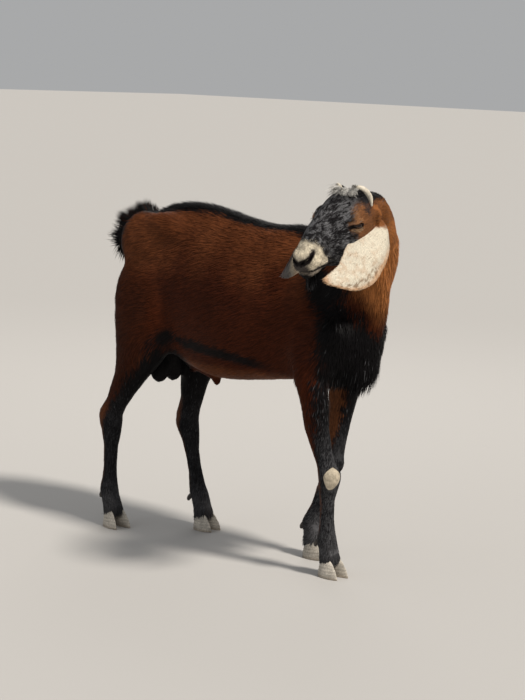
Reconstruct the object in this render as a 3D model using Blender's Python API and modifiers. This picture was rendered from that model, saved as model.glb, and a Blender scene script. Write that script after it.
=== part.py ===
"""A Nubian buck, life size, standing with its head turned to its right.

Metres, +Z up. The goat faces +X and its left side is +Y. The flesh is modelled whole from lofted
tubes and ellipsoids, blended into one surface, and then parted into torso, neck, head and legs with
cuts 0.3 mm wide. Ears, eyes, horns, claws, tail, beard and forelock are seated against it.
"""

import math
import random

import bmesh
import bpy
import numpy as np
from mathutils import Matrix, Vector

# Driving dimensions
WITHERS = 0.810
RUMP = 0.832
HEAD_LENGTH = 0.238
HEAD_ORIGIN = Vector((0.425, -0.140, 0.859))
HEAD_YAW, HEAD_PITCH, HEAD_ROLL = math.radians(-85), math.radians(-22.5), math.radians(-2)
EYE_RADIUS = 0.0145
GAP = 0.0003
BODY_VOXEL, HEAD_VOXEL = 0.0045, 0.0022
BODY_FACES, HEAD_FACES = 4000, 2300

GOAT = bpy.data.collections.new("nubian_buck")
HELPERS = bpy.data.collections.new("helpers")


# Scene and materials

def clear_scene():
    for obj in list(bpy.data.objects):
        bpy.data.objects.remove(obj)
    bpy.context.scene.collection.children.link(GOAT)
    bpy.context.scene.collection.children.link(HELPERS)


def material(name, colour, roughness):
    made = bpy.data.materials.new(name)
    made.use_nodes = True
    shader = made.node_tree.nodes["Principled BSDF"]
    shader.inputs["Base Color"].default_value = (*colour, 1)
    shader.inputs["Roughness"].default_value = roughness
    shader.inputs["Metallic"].default_value = 0
    return made


# Mesh tools

def object_from(name, bm, collection=HELPERS):
    mesh = bpy.data.meshes.new(name)
    bm.to_mesh(mesh)
    bm.free()
    obj = bpy.data.objects.new(name, mesh)
    collection.objects.link(obj)
    return obj


def smooth_rows(rows, steps):
    """Rows of numbers with steps - 1 more between each two, on a Catmull-Rom curve through them."""
    rows = np.array(rows, float)
    ends = np.vstack([2 * rows[0] - rows[1], rows, 2 * rows[-1] - rows[-2]])
    out = []
    for i in range(1, len(ends) - 2):
        a, b, c, d = ends[i - 1:i + 3]
        for t in np.arange(steps) / steps:
            out.append(0.5 * (2 * b + (c - a) * t + (2 * a - 5 * b + 4 * c - d) * t ** 2
                              + (3 * b - a - 3 * c + d) * t ** 3))
    return np.array(out + [rows[-1]])


def tube(rows, sides=28, steps=4, pinch=0.0, square=1.0, facing=None):
    """A closed loft. A row is centre x, y, z, the up direction x, y, z, and the reach up, down and
    sideways. pinch narrows the upper half, square under 1 fills the corners, and facing is the one
    normal of every section, which otherwise follow the path."""
    rows = smooth_rows(rows, steps)
    centres = rows[:, :3]
    along = np.gradient(centres, axis=0)
    bm = bmesh.new()
    rings = []
    for centre, forward, row in zip(centres, along, rows):
        forward = Vector(facing or forward).normalized()
        up = Vector(row[3:6])
        up = (up - forward * up.dot(forward)).normalized()
        left = up.cross(forward)
        ring = []
        for k in range(sides):
            turn = 2 * math.pi * k / sides
            c, s = math.cos(turn), math.sin(turn)
            c = math.copysign(abs(c) ** square, c)
            s = math.copysign(abs(s) ** square, s)
            rise = max(row[6] if s > 0 else row[7], 1e-4) * s
            reach = max(row[8], 1e-4) * c * (1 - pinch * max(s, 0) ** 2)
            ring.append(bm.verts.new(Vector(centre) + up * rise + left * reach))
        rings.append(ring)
    for a, b in zip(rings, rings[1:]):
        for k in range(sides):
            n = (k + 1) % sides
            bm.faces.new((a[k], a[n], b[n], b[k]))
    for ring in (rings[0], rings[-1]):
        bm.faces.new(ring)
    bmesh.ops.recalc_face_normals(bm, faces=bm.faces)
    return object_from("tube", bm)


def ellipsoid(centre, radii, turn=(0, 0, 0), segments=24, rings=14, frame=None):
    """A sphere scaled to radii and turned by Euler degrees, in the frame's own axes if one is given."""
    place = Matrix.Translation(centre)
    for angle, axis in zip(turn, "XYZ"):
        place = place @ Matrix.Rotation(math.radians(angle), 4, axis)
    place = place @ Matrix.Diagonal((*radii, 1))
    bm = bmesh.new()
    bmesh.ops.create_uvsphere(bm, u_segments=segments, v_segments=rings, radius=1,
                              matrix=(frame or Matrix()) @ place)
    return object_from("ellipsoid", bm)


def joined(name, pieces):
    """Separate objects as one mesh, with no Boolean."""
    bm = bmesh.new()
    for piece in pieces:
        bm.from_mesh(piece.data)
    for piece in pieces:
        bpy.data.objects.remove(piece)
    return object_from(name, bm)


def apply_modifiers(obj):
    graph = bpy.context.evaluated_depsgraph_get()
    mesh = bpy.data.meshes.new_from_object(obj.evaluated_get(graph))
    obj.modifiers.clear()
    obj.data = mesh
    return obj


def blended(name, pieces, voxel, smoothing, faces=None):
    """Overlapping closed pieces as one soft surface, of about this many triangles if faces is given."""
    obj = joined(name, pieces)
    remesh = obj.modifiers.new("Remesh", "REMESH")
    remesh.mode = "VOXEL"
    remesh.voxel_size = voxel
    smooth = obj.modifiers.new("Smooth", "SMOOTH")
    smooth.factor = 0.5
    smooth.iterations = smoothing
    apply_modifiers(obj)
    if faces:
        fewer = obj.modifiers.new("Decimate", "DECIMATE")
        fewer.ratio = faces / (2 * len(obj.data.polygons))
        apply_modifiers(obj)
        largest_part(obj)
    return obj


def copy_of(obj, name):
    made = bpy.data.objects.new(name, obj.data.copy())
    HELPERS.objects.link(made)
    return made


def cut(obj, other, operation="DIFFERENCE", solver="EXACT"):
    """Cuts obj with other, keeps the largest closed surface, and removes other."""
    boolean = obj.modifiers.new("Boolean", "BOOLEAN")
    boolean.operation = operation
    boolean.solver = solver
    boolean.object = other
    apply_modifiers(obj)
    bpy.data.objects.remove(other)
    largest_part(obj)
    return obj


def united(name, pieces):
    """Closed pieces that overlap, as one closed surface by one Boolean union."""
    rest = bpy.data.collections.new("union")
    bpy.context.scene.collection.children.link(rest)
    base = pieces[0]
    for piece in pieces[1:]:
        HELPERS.objects.unlink(piece)
        rest.objects.link(piece)
    union = base.modifiers.new("Boolean", "BOOLEAN")
    union.operation = "UNION"
    union.solver = "MANIFOLD"
    union.operand_type = "COLLECTION"
    union.collection = rest
    apply_modifiers(base)
    for piece in pieces[1:]:
        bpy.data.objects.remove(piece)
    bpy.data.collections.remove(rest)
    base.name = name
    largest_part(base)
    return base


def largest_part(obj):
    """Drops all but the closed surface of the largest volume."""
    bm = bmesh.new()
    bm.from_mesh(obj.data)
    bmesh.ops.triangulate(bm, faces=bm.faces)
    bmesh.ops.remove_doubles(bm, verts=bm.verts, dist=1e-6)
    bmesh.ops.dissolve_degenerate(bm, edges=bm.edges, dist=2e-6)
    bmesh.ops.triangulate(bm, faces=bm.faces)
    seen, parts = set(), []
    for start in bm.verts:
        if start in seen:
            continue
        part, queue = [], [start]
        seen.add(start)
        while queue:
            vert = queue.pop()
            part.append(vert)
            for edge in vert.link_edges:
                other = edge.other_vert(vert)
                if other not in seen:
                    seen.add(other)
                    queue.append(other)
        parts.append(part)

    def volume(part):
        faces = {face for vert in part for face in vert.link_faces}
        return sum(f.verts[0].co.dot(f.verts[1].co.cross(f.verts[2].co)) for f in faces) / 6

    keep = set(max(parts, key=volume))
    bmesh.ops.delete(bm, geom=[v for v in bm.verts if v not in keep], context="VERTS")
    bm.to_mesh(obj.data)
    bm.free()


def grown(obj, by):
    """A copy whose surface stands out by this much."""
    made = copy_of(obj, "grown")
    displace = made.modifiers.new("Displace", "DISPLACE")
    displace.strength = by
    displace.mid_level = 0
    return apply_modifiers(made)


def seated(piece, *carriers):
    """piece cut back to stand on the surfaces that carry it, a thin gap off them."""
    for carrier in carriers:
        cut(piece, grown(carrier, GAP))
    return piece


def finish(obj, name, look):
    """Makes obj a node: its name, its material, smooth shading, and the origin in the goat's own."""
    obj.name = name
    obj.data.name = name
    obj.data.materials.clear()
    obj.data.materials.append(look)
    obj.data.shade_smooth()
    HELPERS.objects.unlink(obj)
    GOAT.objects.link(obj)
    return obj


# Torso: x, top, bottom and half width of each section

TORSO = [
    (-0.384, 0.724, 0.668, 0.022),
    (-0.370, 0.750, 0.642, 0.048),
    (-0.340, 0.780, 0.600, 0.078),
    (-0.290, 0.808, 0.530, 0.096),
    (-0.230, 0.828, 0.460, 0.106),
    (-0.160, RUMP, 0.425, 0.114),
    (-0.080, 0.823, 0.410, 0.126),
    (0.000, 0.808, 0.414, 0.134),
    (0.080, 0.800, 0.426, 0.130),
    (0.160, 0.806, 0.438, 0.116),
    (0.220, 0.796, 0.446, 0.102),
    (0.280, 0.758, 0.452, 0.090),
    (0.325, 0.705, 0.462, 0.078),
    (0.362, 0.650, 0.482, 0.062),
    (0.388, 0.610, 0.515, 0.040),
    (0.400, 0.580, 0.540, 0.016),
]
WIDEST_AT = 0.42  # share of the depth, from below, where the barrel is widest


def torso_pieces():
    rows = []
    for x, top, bottom, half in TORSO:
        middle = bottom + (top - bottom) * WIDEST_AT
        rows.append((x, 0, middle, 0, 0, 1, top - middle, middle - bottom, half))
    pieces = [tube(rows, sides=40, steps=3, pinch=0.30, square=0.94, facing=(1, 0, 0))]
    pieces.append(ellipsoid((0.345, 0, 0.515), (0.050, 0.048, 0.070), (0, -22, 0)))
    for side in (-1, 1):
        pieces += [
            # shoulder blade, point of the shoulder, and the upper arm
            ellipsoid((0.205, side * 0.062, 0.650), (0.086, 0.036, 0.150), (side * 13, 24, 0)),
            ellipsoid((0.312, side * 0.072, 0.560), (0.048, 0.032, 0.066), (0, 25, 0)),
            ellipsoid((0.275, side * 0.082, 0.520), (0.066, 0.032, 0.062), (0, 30, 0)),
            # hook and pin bones, and the muscle of the croup
            ellipsoid((-0.200, side * 0.054, 0.764), (0.082, 0.042, 0.038), (0, 16, side * -20)),
            ellipsoid((-0.342, side * 0.044, 0.718), (0.036, 0.034, 0.050)),
            ellipsoid((-0.285, side * 0.060, 0.720), (0.100, 0.048, 0.085), (0, 15, 0)),
        ]
    return pieces


# Legs: height, front and rear x, middle y and half width of each level section

LEGS = {
    ("fore", "right"): [
        (0.580, 0.320, 0.212, -0.074, 0.030), (0.520, 0.320, 0.216, -0.079, 0.036),
        (0.455, 0.316, 0.236, -0.082, 0.035), (0.400, 0.319, 0.250, -0.078, 0.031),
        (0.350, 0.321, 0.256, -0.072, 0.027), (0.300, 0.325, 0.273, -0.063, 0.025),
        (0.265, 0.333, 0.286, -0.057, 0.025), (0.240, 0.343, 0.290, -0.053, 0.029),
        (0.212, 0.336, 0.288, -0.049, 0.0265), (0.185, 0.328, 0.288, -0.046, 0.020),
        (0.140, 0.3250, 0.288, -0.043, 0.0190), (0.105, 0.328, 0.284, -0.040, 0.0220),
        (0.085, 0.331, 0.280, -0.038, 0.026), (0.060, 0.331, 0.287, -0.034, 0.024),
        (0.038, 0.333, 0.291, -0.031, 0.0225),
    ],
    ("fore", "left"): [
        (0.580, 0.308, 0.193, 0.074, 0.030), (0.520, 0.304, 0.190, 0.079, 0.036),
        (0.455, 0.288, 0.198, 0.082, 0.035), (0.400, 0.276, 0.198, 0.080, 0.031),
        (0.350, 0.264, 0.198, 0.078, 0.027), (0.300, 0.254, 0.202, 0.076, 0.025),
        (0.265, 0.248, 0.200, 0.075, 0.025), (0.240, 0.247, 0.194, 0.074, 0.029),
        (0.212, 0.235, 0.187, 0.0735, 0.0265), (0.185, 0.221, 0.181, 0.073, 0.020),
        (0.140, 0.205, 0.168, 0.071, 0.0190), (0.105, 0.194, 0.150, 0.070, 0.0220),
        (0.085, 0.192, 0.141, 0.070, 0.026), (0.060, 0.194, 0.150, 0.069, 0.024),
        (0.038, 0.198, 0.156, 0.068, 0.0225),
    ],
    ("hind", "right"): [
        (0.690, -0.190, -0.358, -0.064, 0.036), (0.620, -0.168, -0.371, -0.080, 0.047),
        (0.560, -0.158, -0.368, -0.088, 0.050), (0.500, -0.163, -0.359, -0.093, 0.047),
        (0.450, -0.192, -0.353, -0.095, 0.041), (0.405, -0.238, -0.356, -0.095, 0.034),
        (0.365, -0.277, -0.370, -0.094, 0.029), (0.325, -0.312, -0.388, -0.093, 0.0250),
        (0.290, -0.337, -0.414, -0.091, 0.0240), (0.262, -0.344, -0.412, -0.090, 0.0275),
        (0.232, -0.3475, -0.3995, -0.091, 0.0245), (0.198, -0.353, -0.3945, -0.092, 0.0200),
        (0.140, -0.3535, -0.392, -0.094, 0.0190), (0.108, -0.350, -0.395, -0.095, 0.0230),
        (0.090, -0.346, -0.397, -0.096, 0.026), (0.062, -0.339, -0.382, -0.097, 0.0240),
        (0.040, -0.329, -0.371, -0.098, 0.0225),
    ],
    ("hind", "left"): [
        (0.690, -0.180, -0.360, 0.064, 0.036), (0.620, -0.158, -0.374, 0.080, 0.047),
        (0.560, -0.150, -0.366, 0.087, 0.050), (0.500, -0.155, -0.345, 0.090, 0.047),
        (0.450, -0.172, -0.322, 0.088, 0.041), (0.405, -0.194, -0.305, 0.084, 0.034),
        (0.365, -0.211, -0.297, 0.080, 0.029), (0.325, -0.223, -0.294, 0.077, 0.0250),
        (0.286, -0.230, -0.301, 0.073, 0.0240), (0.255, -0.229, -0.299, 0.070, 0.0275),
        (0.225, -0.225, -0.278, 0.069, 0.0245), (0.190, -0.220, -0.262, 0.067, 0.0200),
        (0.140, -0.204, -0.244, 0.064, 0.0190), (0.108, -0.191, -0.237, 0.0625, 0.0230),
        (0.090, -0.181, -0.232, 0.062, 0.026), (0.062, -0.171, -0.215, 0.060, 0.0240),
        (0.040, -0.161, -0.203, 0.058, 0.0225),
    ],
}
CLAW_SPACING = 0.0275  # between the middles of the two claws of a foot, at the coronet
# How far each foot's toes point outward, the splay of its claws, and how long they have grown
FEET = {
    ("fore", "right"): dict(heading=-4, splay=9, length=0.064),
    ("fore", "left"): dict(heading=6, splay=8, length=0.062),
    ("hind", "right"): dict(heading=-10, splay=15, length=0.068),
    ("hind", "left"): dict(heading=4, splay=9, length=0.062),
}


def leg_at(end, side, height):
    """Middle of the leg at a height, with its front and rear x."""
    rows = np.array(LEGS[end, side])[::-1]
    _, front, rear, y, _ = [np.interp(height, rows[:, 0], rows[:, i]) for i in range(5)]
    return Vector(((front + rear) / 2, y, height)), front, rear


def foot_frame(end, side):
    """The middle of the coronet, and the foot's forward and left directions on the ground."""
    turn = math.radians(FEET[end, side]["heading"])
    forward = Vector((math.cos(turn), math.sin(turn), 0))
    left = Vector((-math.sin(turn), math.cos(turn), 0))
    return leg_at(end, side, 0.036)[0], forward, left


def leg_pieces(end, side):
    rows = [((front + rear) / 2, y, z, 1, 0, 0, (front - rear) / 2, (front - rear) / 2, half)
            for z, front, rear, y, half in LEGS[end, side]]
    pieces = [tube(rows, sides=24, steps=4, facing=(0, 0, -1))]
    coronet, forward, left = foot_frame(end, side)
    fetlock = leg_at(end, side, 0.088)[0]
    for hand in (-1, 1):
        digit = coronet + left * (hand * CLAW_SPACING / 2)
        rows = []
        for share, ahead, behind, across in ((0.0, 0.021, 0.021, 0.013), (0.5, 0.020, 0.019, 0.0135),
                                             (1.0, 0.0215, 0.0205, 0.0135), (1.12, 0.018, 0.017, 0.0115)):
            centre = (fetlock + left * (hand * 0.010)).lerp(digit, share)
            rows.append((*centre, *forward, ahead, behind, across))
        pieces.append(tube(rows, sides=16, steps=3))
    if end == "fore":
        # the point of the elbow, and the pad at the front of the knee
        middle, _, rear = leg_at(end, side, 0.470)
        pieces.append(ellipsoid((rear + 0.014, middle.y, 0.472), (0.024, 0.020, 0.034), (0, 20, 0)))
        middle, front, _ = leg_at(end, side, 0.240)
        pieces.append(ellipsoid((front - 0.014, middle.y, 0.242), (0.018, 0.021, 0.028)))
    else:
        # the point of the hock with the tendon that runs down to it
        middle, _, rear = leg_at(end, side, 0.285)
        pieces.append(ellipsoid((rear + 0.013, middle.y, 0.284), (0.018, 0.014, 0.024), (0, 20, 0)))
    return pieces


# Claws and dewclaws

CLAW_HEIGHT = 0.036
CLAW_WIDTH = 0.0245


def claw(end, side, hand):
    """One horn claw: flat below, blunt at the heel, pointed at the toe and straight on its inner side."""
    coronet, forward, left = foot_frame(end, side)
    foot = FEET[end, side]
    turn = Matrix.Rotation(math.radians(hand * foot["splay"] / 2), 3, "Z")
    forward, left = turn @ forward, turn @ left
    heel = Vector((coronet.x, coronet.y, 0)) + left * (hand * CLAW_SPACING / 2) - forward * 0.020
    bm = bmesh.new()
    rings = []
    count = 12
    for height, shrink, lean in ((0.0, 0.96, 0.0), (0.0025, 1.0, 0.0), (0.018, 0.96, -0.08),
                                 (CLAW_HEIGHT, 0.83, -0.22), (0.044, 0.60, -0.27)):
        ring = []
        for k in range(count):
            angle = 2 * math.pi * k / count
            ahead = 0.5 + 0.5 * math.cos(angle)
            width = (1 - 0.62 * ahead ** 3.2) * (1.0 if math.sin(angle) * hand > 0 else 0.72)
            reach = ahead * foot["length"] * (shrink + lean * 0.9) + foot["length"] * (1 - shrink) * 0.35
            across = math.sin(angle) * CLAW_WIDTH * 0.58 * width * shrink
            z = height * (1 - 0.30 * (1 - ahead) * (height > 0.0026))
            ring.append(bm.verts.new(heel + forward * reach + left * (across + hand * 0.0012)
                                     + Vector((0, 0, z))))
        rings.append(ring)
    for a, b in zip(rings, rings[1:]):
        for k in range(count):
            bm.faces.new((a[k], a[(k + 1) % count], b[(k + 1) % count], b[k]))
    bm.faces.new(rings[0])
    bm.faces.new(rings[-1])
    bmesh.ops.recalc_face_normals(bm, faces=bm.faces)
    return object_from("claw", bm)


def dewclaw(end, side, hand):
    """The small horn claw behind the fetlock."""
    fetlock = leg_at(end, side, 0.080)[0]
    _, forward, left = foot_frame(end, side)
    place = fetlock - forward * 0.025 + left * (hand * 0.0125)
    return ellipsoid(place, (0.0085, 0.0065, 0.0135), (0, 28, 0), segments=8, rings=6)


# Head, in its own axes: x to the nose, y to its left, z up, in head lengths

def head_frame():
    place = Matrix.Translation(HEAD_ORIGIN) @ Matrix.Rotation(HEAD_YAW, 4, "Z")
    place = place @ Matrix.Rotation(-HEAD_PITCH, 4, "Y") @ Matrix.Rotation(HEAD_ROLL, 4, "X")
    return place @ Matrix.Scale(HEAD_LENGTH, 4)


HEAD = head_frame()
# x, top, bottom and half width of each section of the skull with its flesh
SKULL = [
    (-0.200, 0.060, -0.240, 0.150),
    (-0.110, 0.190, -0.330, 0.205),
    (0.000, 0.246, -0.385, 0.228),
    (0.110, 0.268, -0.405, 0.236),
    (0.220, 0.272, -0.400, 0.228),
    (0.330, 0.258, -0.372, 0.200),
    (0.450, 0.232, -0.325, 0.164),
    (0.570, 0.194, -0.280, 0.140),
    (0.690, 0.142, -0.248, 0.127),
    (0.790, 0.086, -0.228, 0.124),
    (0.865, 0.036, -0.212, 0.120),
    (0.925, -0.008, -0.196, 0.106),
    (0.963, -0.044, -0.168, 0.074),
    (0.978, -0.072, -0.128, 0.032),
]
EYE = (0.275, 0.196, 0.020)
EYE_GAZE = (0.32, 0.93, 0.14)


def head_point(x, y, z):
    return HEAD @ Vector((x, y, z))


def head_ball(centre, radii, turn=(0, 0, 0), segments=24, rings=14):
    return ellipsoid(centre, radii, turn, segments, rings, frame=HEAD)


def head_tube(rows, **how):
    """A tube whose rows are in the head's axes and head lengths."""
    axes = HEAD.to_3x3()
    return tube([(*head_point(*row[:3]), *(axes @ Vector(row[3:6])), *(v * HEAD_LENGTH for v in row[6:]))
                 for row in rows], **how)


def head_pieces():
    rows = []
    for x, top, bottom, half in SKULL:
        middle = bottom + (top - bottom) * 0.52
        rows.append((x, 0, middle, 0, 0, 1, top - middle, middle - bottom, half))
    pieces = [head_tube(rows, sides=36, steps=3, pinch=0.16, square=0.90)]
    # the high nose of the breed, the nose pad and the chin
    pieces.append(head_ball((0.500, 0, 0.112), (0.290, 0.090, 0.112), (0, 19, 0)))
    pieces.append(head_ball((0.905, 0, -0.054), (0.072, 0.090, 0.070), (0, 30, 0)))
    pieces.append(head_ball((0.845, 0, -0.225), (0.092, 0.072, 0.046), (0, 8, 0)))
    for side in (-1, 1):
        x, y, z = EYE
        pieces += [
            # cheek muscle and the angle of the jaw
            head_ball((0.150, side * 0.150, -0.180), (0.190, 0.076, 0.190), (0, 20, 0)),
            # brow, the rim under the eye, and the bony ridge in front of it
            head_ball((x - 0.010, side * (y - 0.034), z + 0.085), (0.110, 0.062, 0.056), (0, 4, side * -8)),
            head_ball((x + 0.010, side * (y - 0.036), z - 0.078), (0.105, 0.055, 0.046), (0, 0, side * -8)),
            head_ball((0.500, side * 0.114, -0.040), (0.170, 0.038, 0.050), (0, 12, side * -9)),
            # lids over the eyeball
            head_ball((x, side * (y - 0.004), z), (0.084, 0.070, 0.078)),
            # wing of the nostril, and the upper and lower lip
            head_ball((0.888, side * 0.068, -0.034), (0.076, 0.044, 0.054), (0, 28, side * -14)),
            head_ball((0.836, side * 0.078, -0.122), (0.108, 0.048, 0.050), (0, 14, side * -10)),
            head_ball((0.820, side * 0.064, -0.200), (0.110, 0.044, 0.034), (0, 12, side * -10)),
            # the boss that carries the horn, and the root of the ear
            head_ball((0.035, side * 0.095, 0.222), (0.080, 0.060, 0.050)),
            head_ball((-0.015, side * 0.200, -0.030), (0.085, 0.060, 0.085)),
        ]
    return pieces


def head_cutters(side):
    """Closed cutters for one side of the face: the socket, the slit of the lids, and the nostril."""
    x, y, z = EYE
    gaze = Vector((EYE_GAZE[0], side * EYE_GAZE[1], EYE_GAZE[2])).normalized()
    lean = gaze.to_track_quat("Y", "Z").to_matrix().to_4x4()
    slit_at = Vector((x, side * y, z)) + gaze * 0.070
    slit = Matrix.Translation(slit_at) @ lean @ Matrix.Rotation(math.radians(side * -14), 4, "Y")
    cutters = [ellipsoid((0, 0, 0), (0.062, 0.060, 0.031), frame=HEAD @ slit, segments=20, rings=10)]
    cutters.append(head_ball((0.925, side * 0.080, -0.050), (0.052, 0.026, 0.018), (0, 34, side * -36), 16, 8))
    return cutters


def mouth_cutter():
    """A thin curved wedge under the upper lip, from one corner of the mouth round to the other."""
    bm = bmesh.new()
    rings = []
    for k in range(13):
        turn = math.radians(-90 + 180 * k / 12)
        x = 0.700 + 0.330 * math.cos(turn) ** 0.8
        y = 0.150 * math.sin(turn)
        z = -0.150 + 0.030 * math.cos(turn) - 0.022 * math.sin(2 * abs(turn))
        inner = Vector((0.700 + (x - 0.700) * 0.86, y * 0.80, z))
        outer = Vector((0.700 + (x - 0.700) * 1.15, y * 1.25, z))
        rings.append([bm.verts.new(HEAD @ p) for p in
                      (inner, outer + Vector((0, 0, 0.011)), outer - Vector((0, 0, 0.011)))])
    for a, b in zip(rings, rings[1:]):
        for k in range(3):
            bm.faces.new((a[k], a[(k + 1) % 3], b[(k + 1) % 3], b[k]))
    bm.faces.new(rings[0])
    bm.faces.new(rings[-1])
    bmesh.ops.recalc_face_normals(bm, faces=bm.faces)
    return object_from("mouth", bm)


def eyeball(side):
    x, y, z = EYE
    place = head_point(x, side * y, z)
    return ellipsoid(place, (EYE_RADIUS,) * 3, segments=14, rings=8)


# Neck: centre, up direction, and the reach up, down and sideways of each section

def neck_pieces():
    back = head_point(-0.16, 0, -0.07)
    inside = head_point(0.03, 0, -0.08)
    up = HEAD.to_3x3() @ Vector((0, 0, 1))
    up.normalize()
    rows = [
        (0.210, 0.000, 0.640, -0.45, 0.00, 0.89, 0.150, 0.118, 0.084),
        (0.285, 0.002, 0.680, -0.62, 0.00, 0.78, 0.105, 0.110, 0.074),
        (0.350, -0.006, 0.732, -0.66, 0.02, 0.75, 0.080, 0.088, 0.063),
        (0.396, -0.034, 0.790, -0.52, 0.05, 0.85, 0.067, 0.076, 0.057),
        (*back, up.x - 0.1, up.y + 0.05, up.z, 0.057, 0.066, 0.052),
        (*inside, up.x, up.y, up.z, 0.046, 0.058, 0.042),
    ]
    throat_top = head_point(0.06, 0, -0.36)
    throat = [
        (*throat_top, 0, 0, 1, 0.024, 0.024, 0.024),
        (0.428, -0.080, 0.745, 0.3, -0.3, 1, 0.027, 0.027, 0.027),
        (0.412, -0.030, 0.692, 0.6, 0, 1, 0.030, 0.030, 0.030),
        (0.388, -0.004, 0.625, 1, 0, 0.4, 0.032, 0.032, 0.036),
        (0.362, 0.0, 0.560, 1, 0, 0.2, 0.032, 0.032, 0.040),
    ]
    return [tube(rows, sides=32, steps=5, pinch=0.22), tube(throat, sides=16, steps=4)]


# Regions that part the flesh: a half space, or a box with a sloping top

def slab(point, normal, size=1.6):
    """A large box that fills the side of a plane that its normal points to."""
    bm = bmesh.new()
    turn = Vector(normal).normalized().to_track_quat("Z", "Y").to_matrix().to_4x4()
    place = Matrix.Translation(point) @ turn @ Matrix.Translation((0, 0, size / 2))
    bmesh.ops.create_cube(bm, size=size, matrix=place)
    return object_from("slab", bm)


HEAD_CUT = ((-0.130, 0, 0.0), (0.965, 0, 0.262))  # a point of the plane behind the jaw, and its normal
NECK_CUT = ((0.318, 0, 0.700), (0.80, 0, 0.60))
# x of the rear and front on the ground and their lean per metre up, y of the inner side, z of the
# top there, and the top's rise outward
LEG_CUTS = {
    "fore": dict(rear=0.095, front=0.380, lean=(0.150, -0.075), inner=0.004, top=0.452, rise=1.05),
    "hind": dict(rear=-0.600, front=-0.105, lean=(0.0, -0.040), inner=0.010, top=0.500, rise=1.00),
}


def leg_region(end, side, spread):
    """The block of space that holds one leg, grown by spread. Its top slopes up and outward."""
    size = LEG_CUTS[end]
    hand = 1 if side == "left" else -1
    far = 0.300
    inner = size["inner"] - spread
    bm = bmesh.new()
    verts = []
    for start, lean in ((size["rear"] - spread, size["lean"][0]), (size["front"] + spread, size["lean"][1])):
        for y, z in ((inner, -0.1), (far, -0.1), (far, size["top"] + size["rise"] * (far - inner) + spread * 1.4),
                     (inner, size["top"] + spread * 1.4)):
            verts.append(bm.verts.new((start + lean * z, hand * y, z)))
    for ids in ((0, 1, 2, 3), (4, 5, 6, 7), (0, 1, 5, 4), (1, 2, 6, 5), (2, 3, 7, 6), (3, 0, 4, 7)):
        bm.faces.new([verts[i] for i in ids])
    bmesh.ops.recalc_face_normals(bm, faces=bm.faces)
    return object_from("region", bm)


# Ears: a rolled sheet that opens into a long hanging cup

EAR_THICK = 0.0032
# each ear's spine in the head's axes, its width, and the degrees that the sheet wraps through
EARS = {
    "left": [
        (-0.020, 0.190, -0.045, 0.046, 270), (-0.050, 0.236, -0.112, 0.072, 165),
        (0.025, 0.268, -0.160, 0.088, 108), (0.190, 0.296, -0.205, 0.096, 74),
        (0.328, 0.314, -0.240, 0.098, 56), (0.455, 0.320, -0.285, 0.096, 46),
        (0.605, 0.308, -0.308, 0.080, 40), (0.760, 0.276, -0.284, 0.050, 36),
        (0.925, 0.235, -0.232, 0.012, 32),
    ],
    "right": [
        (-0.020, -0.190, -0.045, 0.046, 270), (-0.030, -0.238, -0.108, 0.072, 170),
        (0.060, -0.280, -0.160, 0.084, 118), (0.200, -0.305, -0.188, 0.092, 86),
        (0.350, -0.313, -0.200, 0.096, 68), (0.500, -0.304, -0.202, 0.095, 56),
        (0.650, -0.282, -0.197, 0.082, 48), (0.790, -0.250, -0.189, 0.054, 42),
        (0.930, -0.212, -0.179, 0.012, 36),
    ],
}
EAR_HOLLOW = {"left": (0.0, -0.8, -0.6), "right": (0.0, 0.95, -0.3)}  # the way the inside faces


def ear(side):
    rows = smooth_rows([(*head_point(*row[:3]), *row[3:]) for row in EARS[side]], 2)
    spine = rows[:, :3]
    along = np.gradient(spine, axis=0)
    hollow = HEAD.to_3x3() @ Vector(EAR_HOLLOW[side])
    bm = bmesh.new()
    sheet = []
    across = 6
    for centre, forward, (width, wrap) in zip(spine, along, rows[:, 3:]):
        forward = Vector(forward).normalized()
        inward = (hollow - forward * hollow.dot(forward)).normalized()
        sideways = forward.cross(inward)
        wrap = math.radians(wrap)
        radius = width / wrap
        row = []
        for k in range(across + 1):
            turn = wrap * (k / across - 0.5)
            row.append(bm.verts.new(Vector(centre) + inward * radius * (1 - math.cos(turn))
                                    + sideways * radius * math.sin(turn)))
        sheet.append(row)
    for a, b in zip(sheet, sheet[1:]):
        for k in range(across):
            bm.faces.new((a[k], a[k + 1], b[k + 1], b[k]))
    bmesh.ops.triangulate(bm, faces=bm.faces)
    obj = object_from("ear", bm)
    thick = obj.modifiers.new("Solidify", "SOLIDIFY")
    thick.thickness = EAR_THICK
    thick.offset = 0
    apply_modifiers(obj)
    bm = bmesh.new()
    bm.from_mesh(obj.data)
    bmesh.ops.recalc_face_normals(bm, faces=bm.faces)
    bm.to_mesh(obj.data)
    bm.free()
    # the rolled base is closed by a plug that roots it in the head
    root = Vector(spine[0])
    plug = ellipsoid(root.lerp(Vector(spine[2]), 0.4), (0.0125, 0.0125, 0.0125), segments=12, rings=7)
    return united("ear", [obj, plug])


# Horns: short scurs that lie back along the poll

HORN_PATH = [(0.050, 0.070, 0.235), (0.035, 0.105, 0.268), (0.000, 0.150, 0.240), (-0.020, 0.185, 0.165),
             (0.004, 0.205, 0.085)]
HORN_RADII = [0.0090, 0.0085, 0.0072, 0.0058, 0.0022]


def horn(side):
    rows = []
    for (x, y, z), r in zip(HORN_PATH, HORN_RADII):
        rows.append((*head_point(x, side * y, z), 0, 0, 1, r, r, r * 0.8))
    return tube(rows, sides=10, steps=3)


# Locks of long hair

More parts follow.
